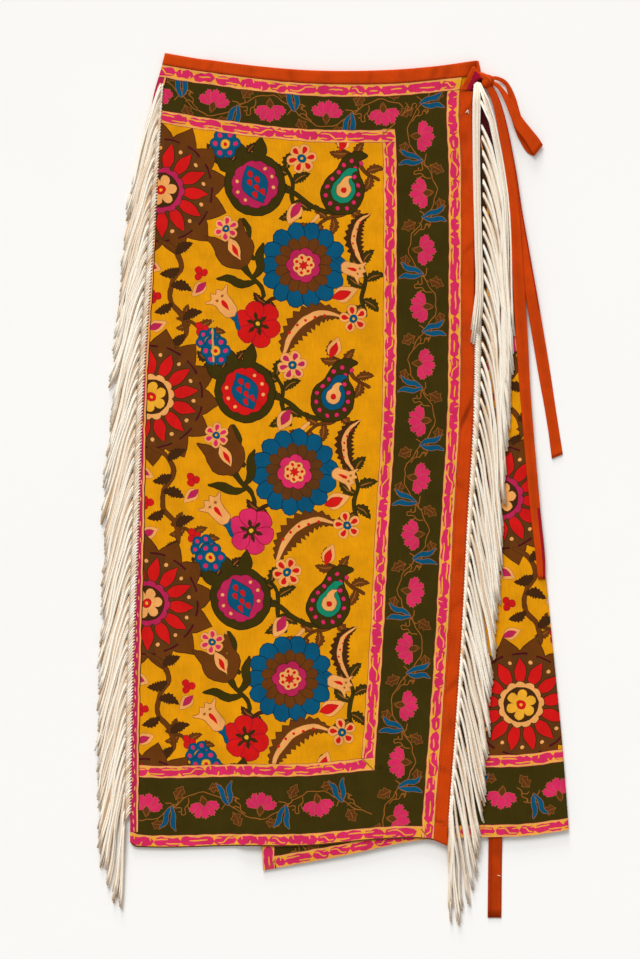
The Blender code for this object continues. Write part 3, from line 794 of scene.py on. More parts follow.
def field(line, top, bottom):
    """The printed field: one repeat laid down the cloth from the top, its flowers' colours changed each time.

    A spot is a motif, its x from the field's left line, its y from the repeat's top, its turn and its size.
    """
    laid = []
    repeat = 0
    while top - repeat * REPEAT > bottom - 40:
        odd = repeat % 2
        sun = sunflower("peach", "yellow") if odd else sunflower("magenta", "peach")
        mum = chrysanthemum("bole", "fuchsia") if odd else chrysanthemum()
        spots = (
            (sprig("olive"), 150, -66, 96, 1.0), (sprig(), 196, -92, 200, 0.9),
            (sprig("umber"), 140, -182, 20, 0.85), (sprig(), 222, -36, 130, 0.9),
            (sprig("olive"), 232, -172, 84, 1.0), (sprig(), 52, -214, -36, 0.8),
            (sprig("umber"), 88, -24, 170, 0.8), (dark_stem(64), 128, -62, -22, 1.0),
            (pale_stem(50), 178, -92, -118, 1.0), (dark_stem(40), 96, -96, -75, 1.0),
            (sun, 6, -64, 8 + 14 * odd, 1.0), (leafy_vine(), 30, -178, 3, 1.0),
            (mum, 164, -146, 6 * odd, 1.0),
            (pomegranate("red" if odd else "magenta"), 108, -58, 24, 1.0),
            (boteh("blue" if odd else "teal"), 205, -62, -16, 1.0), (tulip(), 96, -142, -62, 0.92),
            (poppy("fuchsia" if odd else "red"), 118, -210, 12, 1.0), (bellflower(), 82, -190, 130, 1.0),
            (saz(), 172, -212, 28, 1.0), (saz("umber"), 222, -116, 78, 0.72),
            (blossom("magenta" if odd else "red"), 158, -30, 10, 1.0), (forget_me_not(), 74, -14, 0, 1.05),
            (bud(), 214, -176, 200, 1.1), (blossom("red", 5), 222, -204, 30, 0.95),
            (bud("magenta"), 150, -92, 60, 1.0), (forget_me_not(), 66, -228, 12, 0.9),
            (bud(), 204, -8, 250, 0.9), (bellflower(), 216, -150, -20, 0.8),
            (blossom("fuchsia"), 78, -106, 24, 0.85),
        )
        for prints, x, y, turn, size in spots:
            y = top - repeat * REPEAT + y
            laid += laid_at(prints, float(x_on(line, y)) + x, y, turn, size * MOTIF_SCALE)
        repeat += 1
    return laid


THREAD_SPACING = 2.4


def woven_cotton(name):
    """Plain-woven cotton: a dyed or printed colour, a little uneven, with the threads as a fine relief.

    The real threads lie about 0.4 mm apart, too fine to show, so they are drawn coarser. The blotches of the
    dye are about 22 mm across, and the slubs about 1.1 mm wide and 17 mm long.
    """
    made, tree, shader = new_material(name)
    place = add_node(tree, "ShaderNodeTexCoord").outputs["Object"]
    dye = add_node(tree, "ShaderNodeAttribute", attribute_name="print").outputs["Color"]
    blotch = add_node(
        tree, "ShaderNodeTexNoise", {"Vector": place, "Scale": 45.0, "Detail": 5.0, "Roughness": 0.65},
    ).outputs["Fac"]
    fade = add_node(tree, "ShaderNodeMapRange", {"Value": blotch, 1: 0.3, 2: 0.7, 3: 0.86, 4: 1.1})
    drawn_out = add_node(tree, "ShaderNodeMapping", {"Vector": place, "Scale": (900, 60, 1)}).outputs[0]
    slub = add_node(tree, "ShaderNodeTexNoise", {"Vector": drawn_out, "Scale": 1.0}).outputs["Fac"]
    thread = add_node(tree, "ShaderNodeMapRange", {"Value": slub, 1: 0.3, 2: 0.7, 3: 0.93, 4: 1.06})
    shade = add_node(tree, "ShaderNodeMath", {0: fade.outputs[0], 1: thread.outputs[0]}, operation="MULTIPLY")
    tinted = add_node(tree, "ShaderNodeVectorMath", {0: dye, "Scale": shade.outputs[0]}, operation="SCALE")
    tree.links.new(tinted.outputs[0], shader.inputs["Base Color"])
    waves = {"Vector": place, "Scale": math.tau / (20 * THREAD_SPACING * MM), "Distortion": 0.4}
    warp = add_node(tree, "ShaderNodeTexWave", waves).outputs["Fac"]
    weft = add_node(tree, "ShaderNodeTexWave", waves, bands_direction="Y").outputs["Fac"]
    woven = add_node(tree, "ShaderNodeMath", {0: warp, 1: weft}, operation="MULTIPLY").outputs[0]
    bump = add_node(tree, "ShaderNodeBump", {"Height": woven, "Strength": 0.35, "Distance": 0.0001})
    tree.links.new(bump.outputs[0], shader.inputs["Normal"])
    shader.inputs["Roughness"].default_value = 0.85
    shader.inputs["Specular IOR Level"].default_value = 0.08
    shader.inputs["Sheen Weight"].default_value = 0.05
    shader.inputs["Sheen Roughness"].default_value = 0.4
    shader.inputs["Sheen Tint"].default_value = (*linear("#E08A3C"), 1)
    return made


REVERSE_SIDE = "#C99A4A"
# Printed cotton: strong, slightly blotched colours on a matt cloth, with a faint warm nap.
printed_cotton = woven_cotton("printed_cotton")
FREE_EDGE = (
    (141, 448.5), (138, 433.5), (139.5, 352.5), (139.7, 261), (138, 81), (131.3, -35.5), (125.5, -153),
    (118.3, -262), (110.4, -371), (110, -381.5),
)
seam = smooth(SEAM, 60)
free_edge = smooth(FREE_EDGE, 130)
side_fold = smooth(SIDE_FOLD, 120)
underlap_edge = smooth(UNDERLAP_EDGE, 60)
underlap_hem = smooth(UNDERLAP_HEM, 60)
FRONT_HEM = (
    (-220.5, -384), (-216.5, -388.5), (-208, -389.5), (-101, -388), (-24.5, -387.5), (13.5, -384),
    (52, -380.5), (96.5, -379.5), (110, -381.5),
)
front_hem = smooth(FRONT_HEM, 60)
back_seam = smooth(((-183, 462.5), *SEAM[1:-1], (159.9, 452.5)), 60)

UNDERLAP_CREASES = (
    (168, 300, 178, 200, 7, 0.5), (186, 60, 200, -60, 9, -0.6), (176, -90, 190, -210, 10, 0.6),
    (214, -180, 226, -300, 9, -0.5), (205, -320, 212, -374, 8, 0.45), (-40, -396, 60, -388, 6, 0.3),
)
BACK_CREASES = (
    (-120, 380, -104, 240, 10, 0.35), (30, 300, 44, 130, 12, 0.35), (-60, 60, -70, -110, 11, 0.3),
    (120, -40, 130, -200, 12, 0.35), (-150, -180, -146, -330, 10, 0.3), (20, -240, 28, -350, 9, 0.3),
)


HEM_SINK = 2.2
SINK_LENGTH = 35


def fold_at(y):
    """Where the cloth leaves the flat to go round the side fold."""
    return x_on(side_fold, y) - FOLD_RADIUS


def unfolded(points):
    """Where points of the back lie when the cloth is opened flat beyond the side fold."""
    return np.stack([2 * fold_at(points[:, 1]) - points[:, 0] + math.pi * FOLD_RADIUS, points[:, 1]], 1)


def folded_surface(points, depth):
    """The opened cloth laid as the upper layer, round the side fold and back on the table.

    Past the front's hem nothing lies under it, so it sinks a little towards the table.
    """
    flat_x, y = points[:, 0], points[:, 1]
    past = flat_x - fold_at(y)
    turn = np.clip(past / FOLD_RADIUS, 0, math.pi)
    radius = FOLD_RADIUS - depth
    sunk = HEM_SINK * ease((y_on(front_hem, flat_x) - y) / SINK_LENGTH) * (past < 0)
    on_top = UNDERLAP_LAYER + CLOTH - depth - sunk + creased(points, UNDERLAP_CREASES) * ease(-past / 12)
    beyond = past - math.pi * FOLD_RADIUS
    below = depth + creased(np.stack([fold_at(y) - beyond, y], 1), BACK_CREASES) * ease(beyond / 12)
    round_x = fold_at(y) + radius * np.sin(turn)
    x = np.where(past < 0, flat_x, np.where(beyond < 0, round_x, fold_at(y) - beyond))
    z = np.where(past < 0, on_top, np.where(beyond < 0, FOLD_RADIUS + radius * np.cos(turn), below))
    return np.stack([x, y, np.maximum(z, depth)], 1)


FOLD_TOP = 452.5
FOLD_BOTTOM = -370.5
fold_rows = np.linspace(FOLD_TOP, FOLD_BOTTOM, 110)
# The net's edges follow the side fold in narrow strips, so that it turns evenly.
fold_strips = []
for parts in ((0, 1), (2, 3), (4, 5), (6, 7.5), (-1.5, 0)):
    offsets = [part * math.pi * FOLD_RADIUS / 6 for part in parts]
    sides = [np.stack([fold_at(fold_rows) + offset, fold_rows], 1) for offset in offsets]
    fold_strips.append(np.vstack([sides[0], sides[1][::-1]]))
back_hem = smooth(BACK_HEM, 60)[::-1]
back_rim = np.vstack([back_hem, smooth(BACK_LEFT, 90)[::-1], back_seam[1:]])
under_seam = back_seam[back_seam[:, 0] > UNDERLAP_EDGE[0][0]][::-1]
under_outline = np.vstack([
    underlap_edge, underlap_hem[1:-1], [(fold_at(FOLD_BOTTOM), FOLD_BOTTOM)], unfolded(back_rim),
    [(fold_at(FOLD_TOP), FOLD_TOP)], under_seam[1:],
])

under_print = field(np.stack([fold_at(fold_rows) - 45, fold_rows], 1), 505, -390)
# The back, which lies face down, has rows of large flowers and plain bands. Across is as on the opened cloth.
BACK_ACROSS = (330, 740)
hidden_rows = ((chrysanthemum(), boteh(), pomegranate()), (pomegranate(), chrysanthemum(), saz()))
for row in range(6):
    for column, flower in enumerate(hidden_rows[row % 2]):
        x = 340 + column * 135 + 40 * (row % 2)
        under_print += laid_at(flower, x, 330 - row * 125, 17 * row, 0.9)
open_seam = np.vstack([seam[seam[:, 0] < fold_at(FOLD_TOP)], unfolded(back_seam[::-1])])
open_hem = np.vstack([underlap_hem[:-1], unfolded(back_hem)])
under_print += [
    band(along(open_seam, TOP_BORDER / 2, *BACK_ACROSS), TOP_BORDER, "olive"),
    band(along(open_hem, -HEM_BORDER / 2, *BACK_ACROSS), HEM_BORDER, "olive"),
]
for line, inset in ((open_seam, 6.5), (open_seam, 56.5), (open_hem, -6.5), (open_hem, -82.5)):
    middle = along(line, inset, *BACK_ACROSS)
    under_print += [band(middle, 13, "peach"), band(middle, 7, "fuchsia")]
fold_stripe = np.stack([fold_at(fold_rows) - 12, fold_rows], 1)[(fold_rows > 150) & (fold_rows < 452)]
# Painted shadow: an umber band on the underlap along the right fringe's heading, for the shade the fringe casts
# there.
fringe_shadow_line = np.stack([x_on(free_edge, fold_rows) + BINDING_WIDTH + 5, fold_rows], 1)[fold_rows > -300]
under_print.append(band(fringe_shadow_line, 17, "umber"))
under_print += [band(fold_stripe, 10, "peach"), band(fold_stripe, 8, "fuchsia")]
under_print += border(underlap_edge, open_seam, open_hem, BACK_ACROSS[0], 31, hand=-1)
# Painted shadow: an umber band with a maroon line in it, on the underlap under the top of the right fringe, for
# the shade in the gaps between its cords.
top_fringe_shadow_line = smooth(((157, 450), (163, 404), (170, 372), (177, 300), (179, 240)), 24)
under_print += [band(top_fringe_shadow_line, 13, "umber"), band(top_fringe_shadow_line, 7, "maroon", 1)]
under_print.append(("amber", np.array(((136, 434), (136, 453), (150, 454), (150, 434)), float)))
# What lies under the front is left out, but for the long bands, and so are the thin lines on the back.
under_print = [
    (dye, wavered(shape)) for dye, shape in under_print
    if (shape[:, 0].max() > 118 or shape[:, 1].min() < -372 or len(shape) > 90)
    and (shape[:, 0].max() < 300 or dye not in ("ink", "copper", "navy"))
]
back_and_underlap = cut_cloth(
    "back_and_underlap_cloth", under_outline, under_print, folded_surface, 7.0, fold_strips,
)
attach(back_and_underlap, "root")
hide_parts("back_and_underlap")


# Inner waistband
# A bias strip of orange cotton, folded double and pressed, sewn over the raw upper edges of the back and the
# underlap. It goes round the side fold with them.

BAND_TOP = (
    (-182.5, 475.5), (-144.5, 469), (-83.5, 461), (-30, 456.5), (19, 455.5), (69, 457), (115, 461),
    (159, 467.2),
)
BAND_TAPER = 0.983
ORANGE = "#C64004"
# How much painted shade darkens the colour in the depth of a crease or groove.
CREASE_SHADE = 0.5
band_top = smooth(BAND_TOP, 60)


def closed_piece(name, mesh):
    """An object of the mesh, with every face looking outwards."""
    made = placed(name, mesh)
    bpy.ops.object.select_all(action="DESELECT")
    made.select_set(True)
    bpy.context.view_layer.objects.active = made
    bpy.ops.object.mode_set(mode="EDIT")
    bpy.ops.mesh.select_all(action="SELECT")
    bpy.ops.mesh.normals_make_consistent(inside=False)
    bpy.ops.object.mode_set(mode="OBJECT")
    return made


def folded_strip(name, left, right, out, thickness, puckers, columns=9, roll=1.5, tone=None):
    """A long strip of doubled cloth between two edges, with rolled sides and small puckers in its face.

    Out is the way its face looks at each row. A pucker is how far down the strip it lies, its share of the
    width, its length along and its depth, and for a slanting one how far it runs down over the width. Tone
    gives the face's colour down and across the strip. Painted shade darkens the colour in the depth of a
    pucker.
    """
    left, right, out = (np.array(part, float) for part in (left, right, out))
    width = float(np.linalg.norm(right - left, axis=1).mean())
    inner = np.linspace(roll, width - roll, columns - 4)
    reach = np.concatenate([[0, roll * 0.3], inner, [width - roll * 0.3, width]])
    near = np.clip(1 - np.minimum(reach, width - reach) / roll, 0, 1)
    sink = thickness / 2 * (1 - np.sqrt(1 - near**2))
    steps = np.linalg.norm(np.diff((left + right) / 2, axis=0), axis=1)
    station = np.concatenate([[0.0], np.cumsum(steps)])
    share = reach / width
    face = left[:, None] + (right - left)[:, None] * share[None, :, None]
    lift = np.zeros((len(left), len(reach)))
    for down_at, across_at, long, depth, *slant in puckers:
        middle = down_at + sum(slant) * (share[None] - across_at)
        broad = 0.5 if slant else 0.34
        far = ((station[:, None] - middle) / long) ** 2 + ((share[None] - across_at) / broad) ** 2
        lift -= depth * np.exp(-far)
    lift *= np.clip(np.minimum(reach, width - reach) / roll, 0, 1)
    top = face + out[:, None] * (lift - sink)[:, :, None]
    under = face - out[:, None] * (thickness - sink - np.minimum(lift, 0) * 0.3)[:, :, None]
    loops = np.concatenate([top, under[:, -2:0:-1]], axis=1)
    loops[:, :, 2] = np.maximum(loops[:, :, 2], 0)
    around = loops.shape[1]
    # Painted shade: the face's colour is darkened in the depth of each pucker.
    shade = np.ones(loops.shape[:2])
    shade[:, :len(reach)] = 1 - CREASE_SHADE * np.clip(-lift, 0, 1)
    faces = []
    colours = []
    for row in range(len(left) - 1):
        here, below = row * around, (row + 1) * around
        for place in range(around):
            after = (place + 1) % around
            faces.append((here + place, below + place, below + after, here + after))
            across = share[min(place, 2 * len(reach) - 2 - place)]
            colours.append(linear(tone(station[row], across, place < len(reach) - 1) if tone else ORANGE))
    last = (len(left) - 1) * around
    for start, turned_over in ((0, False), (last, True)):
        ring = [start + place for place in range(around)]
        faces.append(tuple(ring[::-1] if turned_over else ring))
        colours.append(colours[-1])
    mesh = bpy.data.meshes.new(name)
    mesh.from_pydata((loops.reshape(-1, 3) * MM).tolist(), [], faces)
    face_sizes = [len(face) for face in faces]
    corners = np.repeat(np.array([(*colour, 1.0) for colour in colours]), face_sizes, axis=0)
    corners[:, :3] *= shade.ravel()[np.concatenate(faces)][:, None]
    dye_corners(mesh, corners)
    mesh.shade_smooth()
    mesh.materials.append(orange_cotton)
    return closed_piece(name, mesh)


def band_row(x, z, facing):
    """One row of the flat band: its lower and upper edge and the way it faces. It narrows to the top."""
    high_x = x * BAND_TAPER
    return (x, y_on(seam, x) + 0.3, z), (high_x, y_on(band_top, high_x), z), (0, 0, facing)


# Orange cotton: a warm matt cloth of one dye, with painted shade in its creases from the strips' colours.
orange_cotton = woven_cotton("orange_cotton")
inner_rows = [band_row(x, UNDERLAP_LAYER + CLOTH, 1) for x in np.linspace(-114, 159.9, 60)]
for turn in np.linspace(0, math.pi, 9)[1:-1]:
    shift, z = FOLD_RADIUS * math.sin(turn), FOLD_RADIUS * (1 + math.cos(turn))
    low = (159.9 + shift, 452.8, z)
    inner_rows.append((low, (157.2 + shift, y_on(band_top, 157.2), z), (math.sin(turn), 0, math.cos(turn))))
inner_rows += [band_row(x, 0, -1) for x in np.linspace(159.9, -183, 70)]
inner_rows = np.array(inner_rows, float)
inner_waistband = folded_strip(
    "inner_waistband_strip", inner_rows[:, 0], inner_rows[:, 1], inner_rows[:, 2], CLOTH,
    puckers=((60, 0.3, 5, 0.25), (190, 0.4, 6, 0.2), (340, 0.3, 5, 0.25), (470, 0.4, 6, 0.2)),
)
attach(inner_waistband, "root")
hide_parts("inner_waistband")


# Inner tie
# A folded tie of the same orange cotton, sewn in at the waist between back and underlap. It hangs down inside
# the skirt, and its end shows on the table below the hem.

INNER_TIE = (
    (126, 433, 1.5), (148, 380, 1.5), (160, 300, 1.5), (165, 200, 1.5), (168.5, -150, 1.5), (170, -376, 1.5),
    (169.8, -396, 0.0), (169, -466.5, 0.0),
)
INNER_TIE_WIDTH = 15


def facing_up(rows):
    """Straight up, once for each row of a strip that lies flat."""
    return np.tile((0.0, 0.0, 1.0), (len(rows), 1))


def inner_tone_with_shade(down_at, across, on_face):
    """Its colour is a little deeper than the binding's, and darker still along its left fold as painted shade."""
    return "#A83103" if across < 0.2 else "#B83A03"


tie_rows = smooth(INNER_TIE, 90)
inner_tie = folded_strip(
    "inner_tie_strip", tie_rows + (0, 0, CLOTH), tie_rows + (INNER_TIE_WIDTH, 0, CLOTH), facing_up(tie_rows),
    CLOTH, puckers=(
        (832, 0.65, 9, 0.4), (858, 0.35, 12, 0.35), (880, 0.6, 9, 0.5), (897, 0.35, 8, 0.4),
        (905, 0.6, 8, 0.3), (500, 0.4, 40, 0.2),
    ), tone=inner_tone_with_shade,
)
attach(inner_tie, "root")
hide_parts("inner_tie")


# Front panel
# The overlap of the same printed cotton, wrapped over the underlap from the wearer's right side. It is sewn
# to the waistband, its left side and its free edge carry the fringes, and its narrow hem is turned up.

FRONT_LEFT = (
    (-185.5, 462.5), (-196, 423.5), (-198.5, 383), (-202.5, 265.5), (-211, 109.5), (-214.5, -56),
    (-219.5, -261), (-220.5, -384),
)
FRONT_RIDGES = (
    (-85, 330, 45, 1.0), (-150, 305, 60, 0.9), (70, 290, 50, 0.8), (-50, -30, 90, 0.8), (50, -300, 70, 0.9),
)
FRONT_CREASES = (
    (-166, 420, -160, 350, 7, 0.5), (-52, 260, -56, 170, 8, -0.5), (20, 430, 26, 352, 9, 0.35),
    (-120, 130, -96, -20, 11, 0.4), (88, 150, 84, 30, 9, -0.35), (10, -90, 22, -210, 10, 0.4),
    (-170, -120, -176, -260, 8, 0.4), (-90, -290, -84, -380, 9, -0.35),
)

CLIMB_AHEAD = 31
CLIMB_LENGTH = 14
RIDGE_WIDTH = 13

front_left = smooth(FRONT_LEFT, 130)


def front_height(x, y):
    """Underside of the front panel: it climbs a soft step onto the underlap, and has soft ridges."""
    height = STEP + UNDERLAP_LAYER * ease((x - x_on(underlap_edge, y) + CLIMB_AHEAD) / CLIMB_LENGTH)
    for ridge_x, ridge_y, half_length, rise in FRONT_RIDGES:
        apart = ((x - ridge_x) / RIDGE_WIDTH) ** 2
        height = height + rise * np.exp(-apart - ((y - ridge_y) / half_length) ** 2)
    return height


def front_surface(points, depth):
    """The front panel where it lies: its face at depth 0, and its reverse below it."""
    x, y = points[:, 0], points[:, 1]
    return np.stack([x, y, front_height(x, y) + CLOTH - depth + creased(points, FRONT_CREASES)], 1)


field_left = np.stack([front_left[:, 0] + 8, front_left[:, 1]], 1)
front_print = field(field_left, 390, -384)
front_print += border(free_edge, seam, front_hem, -223, 5)
for inset, width, dye in ((-3.2, 7.6, "magenta"), (-7.8, 1.9, "peach"), (-9.2, 1.0, "ink")):
    front_print.append(band(down(front_left, inset, 448.5, -373), width, dye))
for y in np.arange(-370, 445, 9.0):
    x = float(x_on(front_left, y))
    front_print.append(("peach", disc(0.6, points=8, tall=4.6) + (x + 3.6 + 1.4 * math.sin(y), y)))
front_print = [(dye, wavered(shape)) for dye, shape in front_print]
front_print.append(band(along(front_hem, -0.6, -222, 112), 1.6, "bole"))
front_outline = np.vstack([front_left[:-1], front_hem[:-1], free_edge[::-1][:-1], seam[::-1][:-1]])
front_panel = cut_cloth("front_panel_cloth", front_outline, front_print, front_surface, 7.5)
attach(front_panel, "root")
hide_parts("front_panel")


# Front waistband
# The same folded bias strip on the front's upper edge. It runs on past the panel to the side fold, where the
# tie folds over it.

BINDING_THICK = 1.8

band_x = np.append(np.linspace(seam[0, 0], seam[-1, 0], 170), 153.0)
band_low = np.stack([band_x, np.append(y_on(seam, band_x[:-1]) + 0.3, 450.2)], 1)
band_high_x = np.append(band_x[:-1] * BAND_TAPER, 156.6)
band_high = np.stack([band_high_x, y_on(band_top, band_high_x)], 1)
rows = [
    np.column_stack([line, front_height(line[:, 0], line[:, 1]) + BINDING_THICK])
    for line in (band_low, band_high)
]
front_waistband = folded_strip(
    "front_waistband_strip", rows[0], rows[1], facing_up(band_x), BINDING_THICK,
    puckers=(
        (52, 0.35, 3, 0.35, 6), (96, 0.5, 5, 0.3), (141, 0.3, 3, 0.35, -5), (180, 0.45, 6, 0.3),
        (226, 0.3, 3, 0.35, 4), (262, 0.5, 5, 0.3), (297, 0.5, 4, 0.6, 9), (310, 0.35, 4, 0.5, 6),
    ),
)
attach(front_waistband, "root")
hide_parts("front_waistband")


# Edge binding
# A slightly wider folded strip of the orange cotton, sewn over the front's free edge from the tie to the hem. Its
# end there is turned in a little askew, and its face is puckered here and there along the seams.

binding_y = np.linspace(433.5, -381.5, 360)
binding_x = x_on(free_edge, binding_y) + 0.3
rows = []
for x in (binding_x, binding_x + BINDING_WIDTH):
    height = front_height(binding_x + BINDING_WIDTH, binding_y) + BINDING_THICK
    rows.append(np.stack([x, binding_y, height], 1))
rows[1][:, 1] -= 6.0 * ease((-350 - binding_y) / 31)
edge_binding = folded_strip(
    "edge_binding_strip", rows[0], rows[1], facing_up(binding_y), BINDING_THICK,
    puckers=(
        (22, 0.6, 4, 0.6, -16), (52, 0.35, 9, 0.4), (90, 0.3, 14, 0.35), (171, 0.6, 4, 0.45, -14),
        (262, 0.4, 16, 0.35), (352, 0.5, 6.5, 1.1, -33), (430, 0.3, 4, 0.35, 10), (517, 0.6, 11, 0.45),
        (560, 0.5, 4, 0.4, -12),
        (600, 0.4, 15, 0.35), (648, 0.55, 4, 0.5, -14), (690, 0.65, 9, 0.5), (740, 0.4, 4, 0.4, 8),
        (797, 0.5, 1.3, 0.9, 1.5),
    ), columns=19,
)
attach(edge_binding, "root")
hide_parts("edge_binding")


# Left fringe
# Soft ivory cotton cords in small bundles, knotted into a narrow heading that is sewn to the panel's side.
# They leave it at a slant, one bundle over the next, and their cut ends lie on the bare table.

LEFT_HEADING = (
    (-184.5, 444), (-188, 383), (-195, 265.5), (-206, 109.5), (-212, -56), (-216.5, -173), (-218.5, -261),
    (-220, -370),
)
LEFT_FALL = (
    (0, 118, 35), (0.075, 120, 39.5), (0.22, 121, 43.5), (0.41, 121, 43), (0.61, 121, 41.5), (0.76, 121, 41),
    (0.87, 122, 38), (0.91, 120, 31.5), (0.95, 112, 21.5), (1, 85, 8.5),
)
BUNDLES = 54
CORDS = 6
CORD_LEVELS = (0, 1.3, 0.6, 2, 1.2, 0.3)
CORD_SIDES = 4
CORD_HALF = 1.2
SPLAY = 2.2
FALL_SHARES = np.array([0, 0.02, 0.05, 0.1, 0.18, 0.3, 0.44, 0.6, 0.77, 0.9, 1.0])


def twisted_cotton(name, pale_side, warm_side, sheen=0.2):
    """Soft-spun cotton: each cord or stitch its own shade from pale to warm, with a twist every 0.7 mm and a
    faint nap.
    """
    made, tree, shader = new_material(name)
    shade = add_node(tree, "ShaderNodeAttribute", attribute_name="shade").outputs["Fac"]
    pale, warm = (*linear(pale_side), 1), (*linear(warm_side), 1)
    tint = add_node(tree, "ShaderNodeMix", {0: shade, 6: pale, 7: warm}, data_type="RGBA").outputs[2]
    route = add_node(tree, "ShaderNodeUVMap", uv_map="route").outputs[0]
    twist = add_node(
        tree, "ShaderNodeTexWave", {"Vector": route, "Scale": 0.9, "Distortion": 1.2, "Detail": 1.0},
        bands_direction="DIAGONAL",
    ).outputs["Fac"]
    fleck = add_node(
        tree, "ShaderNodeTexNoise", {"Vector": route, "Scale": 0.35, "Detail": 3.0},
    ).outputs["Fac"]
    worn = add_node(tree, "ShaderNodeMapRange", {"Value": fleck, 1: 0.35, 2: 0.7, 3: 0.93, 4: 1.03})
    tinted = add_node(tree, "ShaderNodeVectorMath", {0: tint, "Scale": worn.outputs[0]}, operation="SCALE")
    tree.links.new(tinted.outputs[0], shader.inputs["Base Color"])
    bump = add_node(tree, "ShaderNodeBump", {"Height": twist, "Strength": 0.3, "Distance": 0.0003})
    tree.links.new(bump.outputs[0], shader.inputs["Normal"])
    shader.inputs["Roughness"].default_value = 0.75
    shader.inputs["Specular IOR Level"].default_value = 0.3
    shader.inputs["Sheen Weight"].default_value = sheen
    shader.inputs["Sheen Roughness"].default_value = 0.5
    return made


def cord_tubes(name, routes, shades, material):
    """Many soft cords as closed tubes in one mesh. A route is its points, with the half width last.

    The route UV is in millimetres, round the cord and along it, and starts elsewhere for each shade.
    """
    vertices, faces, shade_of, routes_uv = [], [], [], []
    sides = np.arange(CORD_SIDES)
    turn = sides / CORD_SIDES * math.tau
    for route, shade in zip(routes, shades):
        ahead = np.gradient(route[:, :2], axis=0)
        ahead /= np.maximum(np.linalg.norm(ahead, axis=1), 1e-9)[:, None]
        side = np.stack([-ahead[:, 1], ahead[:, 0], np.zeros(len(route))], 1)
        half = route[:, 3:]
        rings = route[:, None, :3] + side[:, None] * (np.cos(turn)[None, :, None] * half[:, None])
        rings[:, :, 2] += np.sin(turn)[None] * half * 0.78
        first = len(vertices)
        vertices.extend(rings.reshape(-1, 3))
        length = np.concatenate([[0.0], np.cumsum(np.linalg.norm(np.diff(route[:, :3], axis=0), axis=1))])
        for ring in range(len(route) - 1):
            low, high = first + ring * CORD_SIDES, first + (ring + 1) * CORD_SIDES
            near, far = length[ring] + shade * 40, length[ring + 1] + shade * 40
            for place in range(CORD_SIDES):
                after = (place + 1) % CORD_SIDES
                faces.append((low + place, low + after, high + after, high + place))
                here, next_to = place / CORD_SIDES * 6, (place + 1) / CORD_SIDES * 6
                routes_uv += [(here, near), (next_to, near), (next_to, far), (here, far)]
                shade_of += [shade] * 4
        last = first + (len(route) - 1) * CORD_SIDES
        for cap in ((first + sides)[::-1], last + sides):
            faces.append(tuple(cap.tolist()))
            routes_uv += [(0.0, 0.0)] * CORD_SIDES
            shade_of += [shade] * CORD_SIDES
    mesh = bpy.data.meshes.new(name)
    mesh.from_pydata((np.array(vertices) * MM).tolist(), [], faces)
    mesh.uv_layers.new(name="route").data.foreach_set("uv", np.array(routes_uv, float).ravel())
    mesh.attributes.new("shade", "FLOAT", "CORNER").data.foreach_set("value", np.array(shade_of, float))
    mesh.shade_smooth()
    mesh.materials.append(material)
    return closed_piece(name, mesh)


def fringe_cords(side, heading, falls, turn_down, start_out, fan, base_at, seed, first=0):
    """Routes of the cords of one fringe, bundle by bundle down its heading.

    Falls gives, down the heading, how far a cord falls and how far out its end lies, turn_down the way there
    and start_out where it leaves the heading. Fan is how far apart a bundle's cords start and then lie.
    """
    chance = random.Random(seed)
    trims = random.Random(seed + 100)
    falls = np.array(falls, float)
    line = smooth(heading, 160)
    top, bottom = line[0, 1], line[-1, 1]
    routes, shades = [], []
    for bundle in range(first, BUNDLES):
        share = (bundle + 0.45 + chance.uniform(-0.14, 0.14)) / BUNDLES
        root_y = top + share * (bottom - top)
        fall, out = (float(np.interp(share, falls[:, 0], falls[:, place])) for place in (1, 2))
        begin = start_out(root_y)
        fall *= chance.uniform(0.92, 1.06)
        out += chance.uniform(-2.2, 1.4) - begin - SPLAY
        waves = [(chance.uniform(0.3, 1.1), chance.uniform(60, 130), chance.uniform(0, 6)) for _ in range(2)]
        trim = trims.uniform(0, 5.5)
        for cord in range(CORDS):
            place = cord / (CORDS - 1) - 0.5
            reach = FALL_SHARES * (1 - (trim + chance.uniform(0, 3.4)) / fall)
            level = CORD_LEVELS[cord] + chance.uniform(-0.3, 0.9)
            apart = fan[0] + (fan[1] - fan[0]) * ease((reach * fall - 7) / 26)
            waver = sum(rise * np.sin(reach * fall / wave * math.tau + phase) for rise, wave, phase in waves)
            stray = chance.uniform(-1.3, 1.3) if chance.random() < 0.8 else chance.uniform(-3.5, 2.5)
            y = root_y - fall * reach - place * apart
            away = begin + out * turn_down(reach, share) + SPLAY * reach**7
            away = away + waver * ease(reach * 3) + stray * reach
            x = float(x_on(line, root_y)) + side * away
            lift = (0.2 + 0.9 * level) * ease(reach * 11 + 0.3)
            z = base_at(x, y, reach) + 0.9 + lift
            half = np.full(len(reach), CORD_HALF * chance.uniform(0.88, 1.08))
            half[0] *= 0.7
            half[-1] *= 0.9
            routes.append(np.stack([x, y, z, half], 1))
            # Cords that lie lower are mixed warmer and darker as painted shade between the cords, with a random
            # spread on top.
            shades.append(min(max(chance.gauss(0.85 - 0.33 * level, 0.2), 0.0), 1.0))
    return routes, shades


